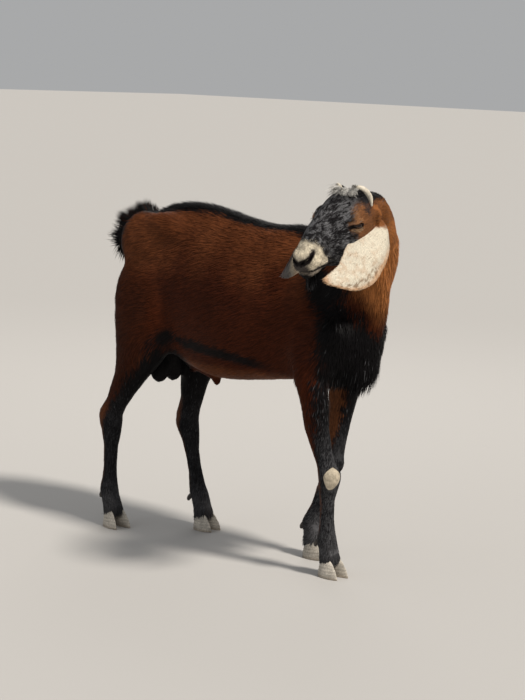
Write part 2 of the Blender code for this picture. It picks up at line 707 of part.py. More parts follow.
def lock(root, path, width, thick, sink, face):
    """A flat tapered lock. path holds steps from the root, and face is the way its flat side looks."""
    points = [root - (path[0] - root).normalized() * sink, root] + path
    shares = [0.85, 1.0] + [1 - 0.93 * (k + 1) / len(path) for k in range(len(path))]
    bm = bmesh.new()
    rings = []
    for k, (point, share) in enumerate(zip(points, shares)):
        ahead = (points[min(k + 1, len(points) - 1)] - points[max(k - 1, 0)]).normalized()
        out = (face - ahead * face.dot(ahead)).normalized()
        side = ahead.cross(out)
        w, h = width * share / 2, thick * max(share, 0.35) / 2
        rings.append([bm.verts.new(point + side * a * w + out * b * h) for a, b in
                      ((1, 0), (0, 1), (-1, 0), (0, -1))])
    for a, b in zip(rings, rings[1:]):
        for k in range(4):
            bm.faces.new((a[k], a[(k + 1) % 4], b[(k + 1) % 4], b[k]))
    bm.faces.new(rings[0])
    bm.faces.new(rings[-1])
    bmesh.ops.recalc_face_normals(bm, faces=bm.faces)
    return object_from("lock", bm)


def bent_path(root, start, end, length, steps=3):
    """Points from the root that leave along start and turn towards end."""
    points, place = [], root.copy()
    for k in range(steps):
        share = (k + 1) / steps
        place = place + start.lerp(end, share * 0.8).normalized() * (length / steps)
        points.append(place.copy())
    return points


# Tail: a short dock carried out behind, with a brush of stiff black hair

TAIL_PATH = [(-0.325, 0, 0.752), (-0.368, 0, 0.776), (-0.402, 0, 0.775), (-0.428, 0, 0.750)]
TAIL_RADII = [(0.020, 0.026), (0.025, 0.030), (0.025, 0.028), (0.014, 0.018)]
TAIL_LOCK = 0.040


def tail():
    draws = random.Random(7)
    rows = [(*p, 0, 0, 1, up, up, wide) for p, (up, wide) in zip(TAIL_PATH, TAIL_RADII)]
    pieces = [tube(rows, sides=14, steps=2)]
    spine = smooth_rows([(*p, *r) for p, r in zip(TAIL_PATH, TAIL_RADII)], 2)
    rows = spine[2:]
    for i, (x, y, z, up, wide) in enumerate(rows):
        share = i / (len(rows) - 1)
        count = 7 if i < 4 else 5
        for k in range(count):
            turn = 2 * math.pi * (k + 0.5 * (i % 2)) / count + draws.uniform(-0.12, 0.12)
            outward = Vector((0, math.sin(turn), math.cos(turn)))
            if outward.z < -0.5 and i < 2:
                continue
            root = Vector((x, y, z)) + Vector((0, outward.y * wide * 0.7, outward.z * up * 0.7))
            back = Vector((-1, 0, 0.35 - 0.9 * share))
            start = (outward * 0.75 + back * (0.35 + 0.55 * share)).normalized()
            end = (outward * 0.35 + back * 0.9 + Vector((0, 0, -1.1 if outward.z < -0.2 else 0.3))).normalized()
            length = TAIL_LOCK * draws.uniform(0.85, 1.1) * (1.0 + 0.30 * (outward.z < -0.3))
            pieces.append(lock(root, bent_path(root, start, end, length, 2), 0.0270, 0.0075, 0.008,
                               outward + Vector((0.3, 0, 0))))
    return united("tail", pieces)


# Forelock: the pale tuft on the poll between the horns

def forelock():
    draws = random.Random(11)
    pieces = [head_ball((0.060, 0, 0.245), (0.110, 0.095, 0.040), (0, 4, 0), 10, 6)]
    for i in range(3):
        for k in range(4):
            x = 0.005 + 0.060 * i
            y = (k - 1.5) * 0.046 + 0.010 * (i % 2) + draws.uniform(-0.006, 0.006)
            root = head_point(x, y, 0.262)
            axes = HEAD.to_3x3().normalized()
            start = axes @ Vector((0.15 + 0.15 * i, y * 3.5, 1.0)).normalized()
            end = axes @ Vector((0.75 + 0.1 * i, y * 6.0, 0.25)).normalized()
            length = 0.026 * draws.uniform(0.8, 1.15)
            pieces.append(lock(root, bent_path(root, start, end, length, 2), 0.0130, 0.0048, 0.006,
                               axes @ Vector((1, 0, 0.3))))
    return united("forelock", pieces)


# Beard: a small tuft under the chin

def beard():
    draws = random.Random(5)
    pieces = [head_ball((0.800, 0, -0.240), (0.070, 0.040, 0.030), (0, 0, 0), 10, 6)]
    for i in range(3):
        for k in range(2 + i % 2):
            root = head_point(0.755 + 0.040 * i, (k - 0.5 - 0.5 * (i % 2)) * 0.036, -0.252)
            start = Vector((0.0, 0.15 - 0.05 * i, -1)).normalized()
            end = Vector((-0.10, 0.25, -1)).normalized()
            length = (0.055 - 0.008 * abs(i - 1)) * draws.uniform(0.85, 1.1)
            pieces.append(lock(root, bent_path(root, start, end, length, 2), 0.0210, 0.0075, 0.007,
                               Vector((0.25 * (k - 0.5), 1, 0))))
    return united("beard", pieces)


# The purse between the thighs, and the sheath under the belly

def scrotum():
    rows = [(-0.262, 0, 0.500, 1, 0, 0, 0.030, 0.030, 0.026),
            (-0.268, 0, 0.455, 1, 0, 0, 0.034, 0.034, 0.036),
            (-0.275, 0, 0.415, 1, 0, 0, 0.030, 0.030, 0.036)]
    pieces = [tube(rows, sides=18)]
    for side in (-1, 1):
        pieces.append(ellipsoid((-0.275, side * 0.024, 0.412), (0.031, 0.026, 0.043), (0, 6, 0)))
    return blended("scrotum", pieces, 0.004, 6, 340)


def sheath():
    rows = [(-0.225, 0, 0.456, 0, 0, 1, 0.022, 0.016, 0.018), (-0.175, 0, 0.430, 0, 0, 1, 0.022, 0.016, 0.018),
            (-0.130, 0, 0.419, 0.3, 0, 1, 0.022, 0.016, 0.017), (-0.103, 0, 0.409, 0.8, 0, 1, 0.018, 0.015, 0.016),
            (-0.098, 0, 0.394, 1, 0, 0.3, 0.012, 0.012, 0.011), (-0.100, 0, 0.383, 1, 0, 0, 0.004, 0.004, 0.004)]
    return tube(rows, sides=10, steps=1)


# Assembly

def build():
    clear_scene()
    coat = material("chestnut_coat", (0.115, 0.034, 0.014), 0.55)
    black = material("black_coat", (0.012, 0.010, 0.009), 0.60)
    pale = material("pale_coat", (0.62, 0.56, 0.46), 0.70)
    horny = material("horn", (0.36, 0.31, 0.24), 0.45)
    eye_look = material("eye", (0.05, 0.03, 0.015), 0.10)
    skin = material("dark_skin", (0.030, 0.020, 0.018), 0.60)

    legs = [(end, side) for end in ("fore", "hind") for side in ("left", "right")]
    limbs = [piece for end, side in legs for piece in leg_pieces(end, side)]
    trunk = blended("trunk", torso_pieces() + neck_pieces() + [copy_of(o, "limb") for o in limbs], 0.006, 36)
    flesh = [trunk] + head_pieces() + limbs
    body = blended("body", flesh, BODY_VOXEL, 9, BODY_FACES)
    head = blended("head", neck_pieces() + head_pieces(), HEAD_VOXEL, 7, HEAD_FACES)

    # the head, cut from the finer surface
    at, normal = head_point(*HEAD_CUT[0]), (HEAD.to_3x3() @ Vector(HEAD_CUT[1])).normalized()
    cut(head, slab(at + normal * GAP / 2, -normal))
    cut(body, slab(at - normal * GAP / 2, normal, 0.34))
    eyes = {}
    for side, hand in (("left", 1), ("right", -1)):
        for cutter in head_cutters(hand):
            cut(head, cutter)
        socket = eyeball(hand)
        eyes[side] = eyeball(hand)
        cut(head, grown_ball(socket))
    cut(head, mouth_cutter())

    # the neck and the legs, cut from the coarser one
    at, normal = Vector(NECK_CUT[0]), Vector(NECK_CUT[1]).normalized()
    neck = cut(copy_of(body, "neck"), slab(at + normal * GAP / 2, -normal))
    cut(body, slab(at - normal * GAP / 2, normal))
    leg_nodes = {}
    for end, side in legs:
        leg_nodes[end, side] = cut(copy_of(body, "leg"), leg_region(end, side, 0), "INTERSECT")
    for end, side in legs:
        cut(body, leg_region(end, side, GAP))

    for end, side in legs:
        for hand in (1, -1):
            word = "inner" if (hand == 1) == (side == "right") else "outer"
            carrier = leg_nodes[end, side]
            finish(seated(claw(end, side, hand), carrier), f"claw_{end}_{side}_{word}", horny)
            finish(seated(dewclaw(end, side, hand), carrier), f"dewclaw_{end}_{side}_{word}", horny)
    for side, hand in (("left", 1), ("right", -1)):
        finish(seated(ear(side), head, neck), f"ear_{side}", pale)
        finish(seated(horn(hand), head), f"horn_{side}", horny)
        finish(eyes[side], f"eye_{side}", eye_look)
    horns = [bpy.data.objects[f"horn_{side}"] for side in ("left", "right")]
    finish(seated(forelock(), head, *horns), "forelock", pale)
    finish(seated(beard(), head), "beard", black)
    finish(seated(tail(), body), "tail", black)
    hinds = [leg_nodes["hind", side] for side in ("left", "right")]
    finish(seated(scrotum(), body, *hinds), "scrotum", skin)
    finish(seated(sheath(), body, *hinds), "sheath", skin)
    finish(body, "torso", coat)
    finish(neck, "neck", coat)
    finish(head, "head", black)
    for end, side in legs:
        finish(leg_nodes[end, side], f"leg_{end}_{side}", black)
    centre_on_floor()


def grown_ball(ball):
    """The ball, larger by the gap about its own centre."""
    middle = sum((v.co for v in ball.data.vertices), Vector()) / len(ball.data.vertices)
    for vert in ball.data.vertices:
        vert.co = middle + (vert.co - middle) * (1 + GAP * 1.6 / EYE_RADIUS)
    return ball


def centre_on_floor():
    """Moves every node so that the floor under the middle of the goat's box is the origin."""
    corners = np.array([v.co for obj in GOAT.objects for v in obj.data.vertices])
    low, high = corners.min(0), corners.max(0)
    shift = Vector(((low[0] + high[0]) / 2, (low[1] + high[1]) / 2, low[2]))
    for obj in GOAT.objects:
        obj.data.transform(Matrix.Translation(-shift))


build()
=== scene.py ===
"""The looks of a Nubian buck: a red-brown goat with black points, long pale ears and a turned head."""

import math

import bmesh
import bpy
import numpy as np
from mathutils import Matrix, Vector
from mathutils.bvhtree import BVHTree
from mathutils.kdtree import KDTree


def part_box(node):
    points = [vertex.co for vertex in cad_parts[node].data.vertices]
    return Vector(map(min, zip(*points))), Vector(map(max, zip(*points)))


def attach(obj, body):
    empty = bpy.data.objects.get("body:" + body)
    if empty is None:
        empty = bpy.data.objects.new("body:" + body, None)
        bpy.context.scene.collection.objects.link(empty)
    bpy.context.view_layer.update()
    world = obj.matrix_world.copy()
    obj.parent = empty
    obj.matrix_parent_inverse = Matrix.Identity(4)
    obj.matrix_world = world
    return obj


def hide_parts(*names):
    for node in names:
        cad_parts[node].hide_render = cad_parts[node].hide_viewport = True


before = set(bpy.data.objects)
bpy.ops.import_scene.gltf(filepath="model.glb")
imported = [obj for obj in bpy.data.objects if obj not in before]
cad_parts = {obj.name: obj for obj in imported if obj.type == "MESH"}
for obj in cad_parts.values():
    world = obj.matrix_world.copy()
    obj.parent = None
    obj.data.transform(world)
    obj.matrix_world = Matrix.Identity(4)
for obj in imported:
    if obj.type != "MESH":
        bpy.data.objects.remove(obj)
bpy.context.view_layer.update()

# Room: a plain pale floor, a large soft key light from the animal's front, a fill and a rim,
# and a camera a little above the back, off the right shoulder.


def linked(name, data):
    made = bpy.data.objects.new(name, data)
    bpy.context.scene.collection.objects.link(made)
    return made


def object_of(name, bm):
    """A new object with the mesh in bm, which is freed."""
    mesh = bpy.data.meshes.new(name)
    bm.to_mesh(mesh)
    bm.free()
    return linked(name, mesh)


def settle(node, **values):
    """Sets a node's inputs, named with _ for a space."""
    for socket, value in values.items():
        node.inputs[socket.replace("_", " ")].default_value = value


def material(name):
    """A new material, with its nodes, its links and its shader."""
    look = bpy.data.materials.new(name)
    look.use_nodes = True
    return look, look.node_tree.nodes, look.node_tree.links, look.node_tree.nodes["Principled BSDF"]


bm = bmesh.new()
bmesh.ops.create_grid(bm, x_segments=1, y_segments=1, size=60)
floor = object_of("floor", bm)
floor_look, nodes, links, shader = material("pale_floor")
settle(shader, Base_Color=(0.46, 0.447, 0.43, 1), Roughness=0.85)
floor.data.materials.append(floor_look)

sky = bpy.data.worlds.new("studio")
sky.use_nodes = True
settle(sky.node_tree.nodes["Background"], Color=(0.98, 0.99, 1.0, 1), Strength=0.40)
bpy.context.scene.world = sky


def softbox(name, place, aim, size, power, colour):
    """A round soft lamp at place, turned to aim, with its size in metres and power in watts."""
    lamp = bpy.data.lights.new(name, "AREA")
    lamp.shape = "DISK"
    lamp.size = size
    lamp.energy = power
    lamp.color = colour
    made = linked(name, lamp)
    made.location = place
    made.rotation_euler = (Vector(aim) - Vector(place)).to_track_quat("-Z", "Y").to_euler()


sun = bpy.data.lights.new("key", "SUN")
sun.energy = 3.7
sun.angle = math.radians(9)
sun.color = (1.0, 0.94, 0.86)
key = linked("key", sun)
key.rotation_euler = Vector((-0.60, -0.02, -0.78)).to_track_quat("-Z", "Y").to_euler()
softbox("fill", (-1.2, -3.2, 1.6), (0.0, 0.1, 0.5), 2.4, 10, (0.92, 0.95, 1.0))
softbox("rim", (-1.8, 2.4, 2.6), (0.0, 0.1, 0.6), 1.6, 15, (1.0, 0.97, 0.93))

lens = bpy.data.cameras.new("photo_view")
lens.lens = 94.4
lens.sensor_width = 36
camera = linked("photo_view", lens)
ahead = Vector((-0.6617, 0.7348, -0.1491)).normalized()
across = Vector((0.739, 0.673, 0.04))
across = (across - ahead * across.dot(ahead)).normalized()
over = across.cross(ahead)
camera.matrix_world = Matrix.Translation((2.9274, -3.1249, 1.15)) @ Matrix(
    (across, over, -ahead)).transposed().to_4x4()
bpy.context.scene.camera = camera
bpy.context.scene.view_settings.view_transform = "Standard"

# Skin: one closed hide over body, neck, legs and head, with the purse, the sheath and the dock of
# the tail. The head is modelled finer, from the same lofts as the solid, and bridged to the neck.

HEAD_LENGTH = 0.238
head = Matrix.Translation((0.425, -0.140, 0.859)) @ Matrix.Rotation(math.radians(-85), 4, "Z")
head = head @ Matrix.Rotation(math.radians(22.5), 4, "Y") @ Matrix.Rotation(math.radians(-2), 4, "X")
head = head @ Matrix.Scale(HEAD_LENGTH, 4)
eye_boxes = [Vector(corner) for side in ("left", "right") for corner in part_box(f"eye_{side}")]
# the solid's script ends by moving everything over the middle of its box: this is that move
offset = sum(eye_boxes, Vector()) / 4 - head @ Vector((0.275, 0, 0.020))
head = Matrix.Translation(offset) @ head
head_axes = head.to_3x3().normalized()


def head_point(x, y, z):
    """A place on the head, given ahead, left and up in head lengths."""
    return head @ Vector((x, y, z))


def curve_through(rows, steps):
    """Rows of numbers with steps - 1 more between each two, on a Catmull-Rom curve through them."""
    rows = np.array(rows, float)
    ends = np.vstack([2 * rows[0] - rows[1], rows, 2 * rows[-1] - rows[-2]])
    out = []
    for i in range(1, len(ends) - 2):
        a, b, c, d = ends[i - 1:i + 3]
        for t in np.arange(steps) / steps:
            out.append(0.5 * (2 * b + (c - a) * t + (2 * a - 5 * b + 4 * c - d) * t ** 2
                              + (3 * b - a - 3 * c + d) * t ** 3))
    return np.array(out + [rows[-1]])


def skinned(bm, rings, capped=True):
    """Joins rings of vertices by faces, closes both ends and turns the faces outward."""
    faces = []
    for a, b in zip(rings, rings[1:]):
        for k in range(len(a)):
            n = (k + 1) % len(a)
            faces.append(bm.faces.new((a[k], a[n], b[n], b[k])))
    faces += [bm.faces.new(ring) for ring in (rings[0], rings[-1]) if capped]
    bmesh.ops.recalc_face_normals(bm, faces=faces)


def loft(bm, rows, sides=32, steps=4, pinch=0.0, square=1.0):
    """Adds a closed tube. A row is centre x, y, z, up x, y, z, and the reach up, down and sideways."""
    rows = curve_through(rows, steps)
    along = np.gradient(rows[:, :3], axis=0)
    rings = []
    for forward, row in zip(along, rows):
        forward = Vector(forward).normalized()
        up = Vector(row[3:6])
        up = (up - forward * up.dot(forward)).normalized()
        left = up.cross(forward)
        ring = []
        for k in range(sides):
            turn = 2 * math.pi * k / sides
            c, s = math.cos(turn), math.sin(turn)
            c, s = math.copysign(abs(c) ** square, c), math.copysign(abs(s) ** square, s)
            rise = max(row[6] if s > 0 else row[7], 1e-4) * s
            reach = max(row[8], 1e-4) * c * (1 - pinch * max(s, 0) ** 2)
            ring.append(bm.verts.new(Vector(row[:3]) + up * rise + left * reach))
        rings.append(ring)
    skinned(bm, rings)


def ball(bm, centre, radii, turn=(0, 0, 0)):
    """Adds a sphere to the head, scaled to radii and turned by Euler degrees."""
    form = Matrix.Translation(centre)
    for angle, axis in zip(turn, "XYZ"):
        form = form @ Matrix.Rotation(math.radians(angle), 4, axis)
    form = head @ form @ Matrix.Diagonal((*radii, 1))
    bmesh.ops.create_uvsphere(bm, u_segments=28, v_segments=16, radius=1, matrix=form)


def modified(obj, *modifiers):
    """Applies modifiers, each given as its type and settings, and leaves a plain mesh."""
    for kind, settings in modifiers:
        modifier = obj.modifiers.new(kind, kind)
        for key, value in settings.items():
            setattr(modifier, key, value)
    graph = bpy.context.evaluated_depsgraph_get()
    mesh = bpy.data.meshes.new_from_object(obj.evaluated_get(graph))
    obj.modifiers.clear()
    obj.data = mesh


def reached(start, free):
    """The vertices that edges join to start, going on only through those that free allows."""
    found, queue = {start}, [start]
    while queue:
        for edge in queue.pop().link_edges:
            for vert in edge.verts:
                if vert not in found and free(vert):
                    found.add(vert)
                    queue.append(vert)
    return found


def largest(bm):
    """Deletes all but the part with the most vertices."""
    left, keep = set(bm.verts), set()
    while left:
        part = reached(next(iter(left)), lambda vert: True)
        left -= part
        keep = max(keep, part, key=len)
    bmesh.ops.delete(bm, geom=[v for v in bm.verts if v not in keep], context="VERTS")


# x, top, bottom and half width of each section of the skull with its flesh, in head lengths
SKULL = [
    (-0.200, 0.060, -0.240, 0.150), (-0.110, 0.190, -0.330, 0.205), (0.000, 0.246, -0.385, 0.228),
    (0.110, 0.268, -0.405, 0.236), (0.220, 0.272, -0.400, 0.228), (0.330, 0.258, -0.372, 0.200),
    (0.450, 0.232, -0.325, 0.164), (0.570, 0.194, -0.280, 0.140), (0.690, 0.142, -0.248, 0.127),
    (0.790, 0.086, -0.228, 0.124), (0.865, 0.036, -0.212, 0.120), (0.925, -0.008, -0.196, 0.106),
    (0.963, -0.044, -0.168, 0.074), (0.978, -0.072, -0.128, 0.032),
]
EYE = Vector((0.275, 0.196, 0.020))
GAZE = Vector((0.32, 0.93, 0.14)).normalized()
EYE_RADIUS = 0.0145
LID_TILT = -14

bm = bmesh.new()
rows = []
up = head_axes @ Vector((0, 0, 1))
for x, top, bottom, half in SKULL:
    middle = bottom + (top - bottom) * 0.52
    reach = [v * HEAD_LENGTH for v in (top - middle, middle - bottom, half)]
    rows.append((*head_point(x, 0, middle), *up, *reach))
loft(bm, rows, sides=48, pinch=0.16, square=0.90)
# the high nose of the breed, the nose pad and the chin
ball(bm, (0.500, 0, 0.112), (0.290, 0.090, 0.112), (0, 19, 0))
ball(bm, (0.905, 0, -0.054), (0.072, 0.090, 0.070), (0, 30, 0))
ball(bm, (0.845, 0, -0.225), (0.092, 0.072, 0.046), (0, 8, 0))


def lid_frame(side):
    """Axes of an eye: x towards the nose along the slit, y out along the gaze, z up, in metres."""
    gaze = Vector((GAZE.x, side * GAZE.y, GAZE.z))
    lean = gaze.to_track_quat("Y", "Z").to_matrix().to_4x4()
    middle = Vector((EYE.x, side * EYE.y, EYE.z))
    turn = Matrix.Rotation(math.radians(side * LID_TILT), 4, "Y")
    return head @ Matrix.Translation(middle) @ lean @ turn @ Matrix.Scale(1 / HEAD_LENGTH, 4)


def lid_edge(side, share, upper, radius, open_by=1.0):
    """A point of the lid's edge, with share from 0 at the front corner to 1 at the back one."""
    along = (0.5 - share) * 0.030
    rise = math.sin(math.pi * share) ** 0.75 * (0.0050 if upper else -0.0050) * open_by
    rise += 0.0012 * math.sin(2 * math.pi * share) * (-1 if upper else 0.4)
    out = math.sqrt(max(radius ** 2 - along ** 2 * 0.72 - rise ** 2, 1e-6))
    return lid_frame(side) @ Vector((along, out, rise))


for side in (-1, 1):
    # cheek muscle and the angle of the jaw, brow, rim under the eye, ridge in front of it, lids
    ball(bm, (0.150, side * 0.150, -0.180), (0.190, 0.076, 0.190), (0, 20, 0))
    ball(bm, (0.265, side * 0.162, 0.105), (0.110, 0.062, 0.056), (0, 4, side * -8))
    ball(bm, (0.285, side * 0.160, -0.058), (0.105, 0.055, 0.046), (0, 0, side * -8))
    ball(bm, (0.500, side * 0.114, -0.040), (0.170, 0.038, 0.050), (0, 12, side * -9))
    ball(bm, (0.275, side * 0.190, 0.020), (0.082, 0.066, 0.074))
    # the cheek bone back to the ear, wing of the nostril, upper and lower lip
    ball(bm, (0.130, side * 0.196, 0.000), (0.120, 0.040, 0.034), (0, 8, side * 4))
    ball(bm, (0.888, side * 0.068, -0.034), (0.076, 0.044, 0.054), (0, 28, side * -14))
    ball(bm, (0.836, side * 0.078, -0.122), (0.108, 0.048, 0.050), (0, 14, side * -10))
    ball(bm, (0.820, side * 0.064, -0.200), (0.110, 0.044, 0.034), (0, 12, side * -10))
    ball(bm, (0.720, side * 0.100, -0.165), (0.060, 0.034, 0.040), (0, 18, side * -8))
    # the boss that carries the horn, and the root of the ear
    ball(bm, (0.035, side * 0.095, 0.222), (0.080, 0.060, 0.050))
    ball(bm, (-0.015, side * 0.200, -0.030), (0.085, 0.060, 0.085))
    # the rolls of the lids, with the heavy fold over the upper one
    for upper, out, thick, reach in ((True, 0.0168, 0.0029, 1.28), (True, 0.0176, 0.0034, 2.35),
                                     (False, 0.0165, 0.0024, 1.20), (False, 0.0163, 0.0022, 2.05)):
        roll = []
        for share in np.linspace(0.02, 0.98, 9):
            spot = lid_edge(side, share, upper, out, reach)
            size = thick * (0.55 + 0.45 * math.sin(math.pi * share))
            roll.append((*spot, 0, 0, 1, size, size, size))
        loft(bm, roll, sides=10, steps=2)
# the upper neck as far as the cut, and the windpipe under it
NECK_ROOT = offset + Vector((0.285, 0.002, 0.680))
loft(bm, [
    (*NECK_ROOT, -0.62, 0.00, 0.78, 0.105, 0.110, 0.074),
    (*(offset + Vector((0.350, -0.006, 0.732))), -0.66, 0.02, 0.75, 0.080, 0.088, 0.063),
    (*(offset + Vector((0.396, -0.034, 0.790))), -0.52, 0.05, 0.85, 0.067, 0.076, 0.057),
    (*head_point(-0.16, 0, -0.07), up.x - 0.1, up.y + 0.05, up.z, 0.057, 0.066, 0.052),
    (*head_point(0.03, 0, -0.08), up.x, up.y, up.z, 0.046, 0.058, 0.042),
], sides=40, steps=6, pinch=0.22)
loft(bm, [
    (*head_point(0.06, 0, -0.36), 0, 0, 1, 0.024, 0.024, 0.024),
    (*(offset + Vector((0.428, -0.080, 0.745))), 0.3, -0.3, 1, 0.027, 0.027, 0.027),
    (*(offset + Vector((0.412, -0.030, 0.692))), 0.6, 0, 1, 0.030, 0.030, 0.030),
    (*(offset + Vector((0.388, -0.004, 0.625))), 1, 0, 0.4, 0.032, 0.032, 0.036),
], sides=20)


def remeshed(obj, voxel, rounds):
    smooth = ("SMOOTH", dict(factor=0.5, iterations=rounds))
    modified(obj, ("REMESH", dict(mode="VOXEL", voxel_size=voxel)), smooth)


def carve(obj, bm):
    """Cuts the closed form in bm out of obj."""
    cutter = object_of("cutter", bm)
    modified(obj, ("BOOLEAN", dict(operation="DIFFERENCE", solver="EXACT", object=cutter)))
    bpy.data.objects.remove(cutter)


fine = object_of("fine", bm)
remeshed(fine, 0.0021, 5)


for side in (-1, 1):
    # the slit between the lids, open to the eyeball
    bm = bmesh.new()
    ring = [lid_edge(side, share, True, 0.016) for share in np.linspace(0, 1, 13)]
    ring += [lid_edge(side, share, False, 0.016) for share in np.linspace(1, 0, 13)][1:-1]
    middle = lid_frame(side).translation
    gaze = (lid_frame(side).to_3x3() @ Vector((0, 1, 0))).normalized()
    rings = []
    for depth, wide in ((0.0105, 0.72), (0.0145, 0.98), (0.0290, 1.30)):
        flat = [(spot - middle) - gaze * (spot - middle).dot(gaze) for spot in ring]
        rings.append([bm.verts.new(middle + off * wide + gaze * depth) for off in flat])
    skinned(bm, rings)
    carve(fine, bm)
    # the comma of the nostril, narrow behind and round in front
    bm = bmesh.new()
    comma = [(0.974, 0.026, -0.078, 0.0018), (0.960, 0.052, -0.066, 0.0042), (0.932, 0.086, -0.052, 0.0060),
             (0.902, 0.104, -0.030, 0.0052), (0.872, 0.108, -0.008, 0.0030), (0.846, 0.108, 0.010, 0.0012)]
    rows = []
    for x, y, z, r in comma:
        inward = head_axes @ Vector((-0.25, -side * 0.6, -0.1)) * 0.001
        rows.append((*(head_point(x, side * y, z) + inward), 0, 0, 1, r * 0.62, r * 0.62, r * 1.5))
    loft(bm, rows, sides=12, steps=3)
    carve(fine, bm)
# the line of the mouth, from corner to corner under the upper lip
bm = bmesh.new()
rings = []
for k in range(25):
    turn = math.radians(-90 + 180 * k / 24)
    x = 0.660 + 0.345 * math.cos(turn) ** 0.75
    y = 0.150 * math.sin(turn)
    z = -0.180 + 0.018 * math.cos(turn) + 0.006 * math.sin(3 * abs(turn))
    inner = Vector((0.700 + (x - 0.700) * 0.80, y * 0.68, z + 0.006))
    outer = Vector((0.700 + (x - 0.700) * 1.20, y * 1.30, z - 0.008))
    half = Vector((0, 0, 0.0068))
    rings.append([bm.verts.new(head @ p) for p in (inner, outer + half, outer - half)])
skinned(bm, rings)
carve(fine, bm)

# the body, neck and legs from the solid's own nodes, grown a little so that their cuts close
FLESH = ["torso", "neck", "head", "scrotum", "sheath"]
FLESH += [f"leg_{end}_{side}" for end in ("fore", "hind") for side in ("left", "right")]
bm = bmesh.new()
for name in FLESH:
    bm.from_mesh(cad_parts[name].data)
bmesh.ops.remove_doubles(bm, verts=bm.verts, dist=1e-5)
coarse = object_of("coarse", bm)
modified(coarse, ("DISPLACE", dict(strength=0.0006, mid_level=0)))
bm = bmesh.new()
bm.from_mesh(coarse.data)
# the dock of the tail under its brush
DOCK = [(-0.300, 0, 0.746, 0.016), (-0.345, -0.009, 0.764, 0.016), (-0.380, -0.017, 0.757, 0.014),
        (-0.406, -0.023, 0.722, 0.009)]
loft(bm, [(*(offset + Vector((x, y, z))), 0, 0, 1, r, r, r * 1.1) for x, y, z, r in DOCK], sides=16)
bm.to_mesh(coarse.data)
bm.free()
remeshed(coarse, 0.0057, 7)

# both are cut across the upper neck, and the two rims are bridged
cut_at = offset + Vector((0.405, -0.056, 0.8135))
cut_way = Vector((0.26, -0.66, 0.70)).normalized()
bm = bmesh.new()
for obj, far, off in ((coarse, head_point(0.95, 0, -0.06), -0.0030),
                      (fine, NECK_ROOT, 0.0015)):
    part = bmesh.new()
    part.from_mesh(obj.data)
    point = cut_at + cut_way * off
    close = [face for face in part.faces if (face.calc_center_median() - cut_at).length < 0.17]
    close += [*{edge for face in close for edge in face.edges},
              *{vert for face in close for vert in face.verts}]
    bmesh.ops.bisect_plane(part, geom=close, plane_co=point, plane_no=cut_way, dist=1e-6)
    # what can be reached from a point beyond the cut, without crossing it, goes
    start = min(part.verts, key=lambda vert: (vert.co - far).length)
    gone = reached(start, lambda vert: abs((vert.co - point).dot(cut_way)) > 2e-6)
    bmesh.ops.delete(part, geom=list(gone), context="VERTS")
    largest(part)
    part.to_mesh(obj.data)
    part.free()
    bm.from_mesh(obj.data)
    bpy.data.objects.remove(obj)
rims = [edge for edge in bm.edges if len(edge.link_faces) == 1]
bmesh.ops.bridge_loops(bm, edges=rims)
bmesh.ops.triangulate(bm, faces=[face for face in bm.faces if len(face.verts) > 4])
bmesh.ops.recalc_face_normals(bm, faces=bm.faces)
joint = [vert for vert in bm.verts if (vert.co - cut_at).length < 0.15
         and abs((vert.co - cut_at).dot(cut_way)) < 0.020]
for _ in range(14):
    bmesh.ops.smooth_vert(bm, verts=joint, factor=0.5, use_axis_x=True, use_axis_y=True, use_axis_z=True)
# edges where the surface touches itself are drawn together
for _ in range(3):
    bmesh.ops.collapse(bm, edges=[edge for edge in bm.edges if len(edge.link_faces) > 2])
bmesh.ops.delete(bm, geom=[edge for edge in bm.edges if not edge.link_faces], context="EDGES")
bmesh.ops.delete(bm, geom=[vert for vert in bm.verts if not vert.link_faces], context="VERTS")
rims = [edge for edge in bm.edges if len(edge.link_faces) == 1]
if rims:
    bmesh.ops.holes_fill(bm, edges=rims, sides=0)
hide = object_of("hide", bm)
hide_mesh = hide.data


def numbers(collection, field, wide=3, kind=np.float32):
    """One field of every vertex, edge or face as rows of an array."""
    out = np.empty(len(collection) * wide, kind)
    collection.foreach_get(field, out)
    return out.reshape(-1, wide).astype(float if kind == np.float32 else kind)


def unit(rows):
    """Each row made one long."""
    return rows / np.maximum(np.linalg.norm(rows, axis=1), 1e-6)[:, None]


def flat_on(rows, outward):
    """Each row turned to lie square to the unit row outward."""
    return unit(rows - outward * (rows * outward).sum(1)[:, None])


def moved(points, matrix):
    turn = np.array(matrix)
    return points @ turn[:3, :3].T + turn[:3, 3]


def blend(base, tone, share):
    """Moves the rows of base towards tone by each share, where they are."""
    share = np.clip(share, 0, 1)[:, None]
    base[:] = base * (1 - share) + np.array(tone) * share


def step(low, high, value):
    """0 at low, 1 at high and smooth between."""
    share = np.clip((value - low) / (high - low), 0, 1)
    return share * share * (3 - 2 * share)


def mottle(points, size, seed):
    """Smooth random numbers from 0 to 1 through space, in blotches of this size in metres."""
    cell = points / size + seed * 17.31
    base = np.floor(cell).astype(np.int64)
    part = cell - base
    part = part * part * (3 - 2 * part)
    total = np.zeros(len(points))
    for corner in range(8):
        shift = np.array([corner & 1, corner >> 1 & 1, corner >> 2 & 1])
        at = base + shift
        mixed = (at[:, 0] * 73856093) ^ (at[:, 1] * 19349663) ^ (at[:, 2] * 83492791) ^ (seed * 9176)
        mixed = ((mixed ^ (mixed >> 13)) * 1274126177) & 0xffffffff
        total += np.prod(np.where(shift, part, 1 - part), axis=1) * ((mixed >> 9) & 0xffff) / 65535
    return total


def sway(points, size, seed):
    """Smooth random directions through space."""
    return np.column_stack([mottle(points, size, seed + k) - 0.5 for k in range(3)])


MUZZLE_SHORTER, MUZZLE_SLIMMER = 0.045, 0.08


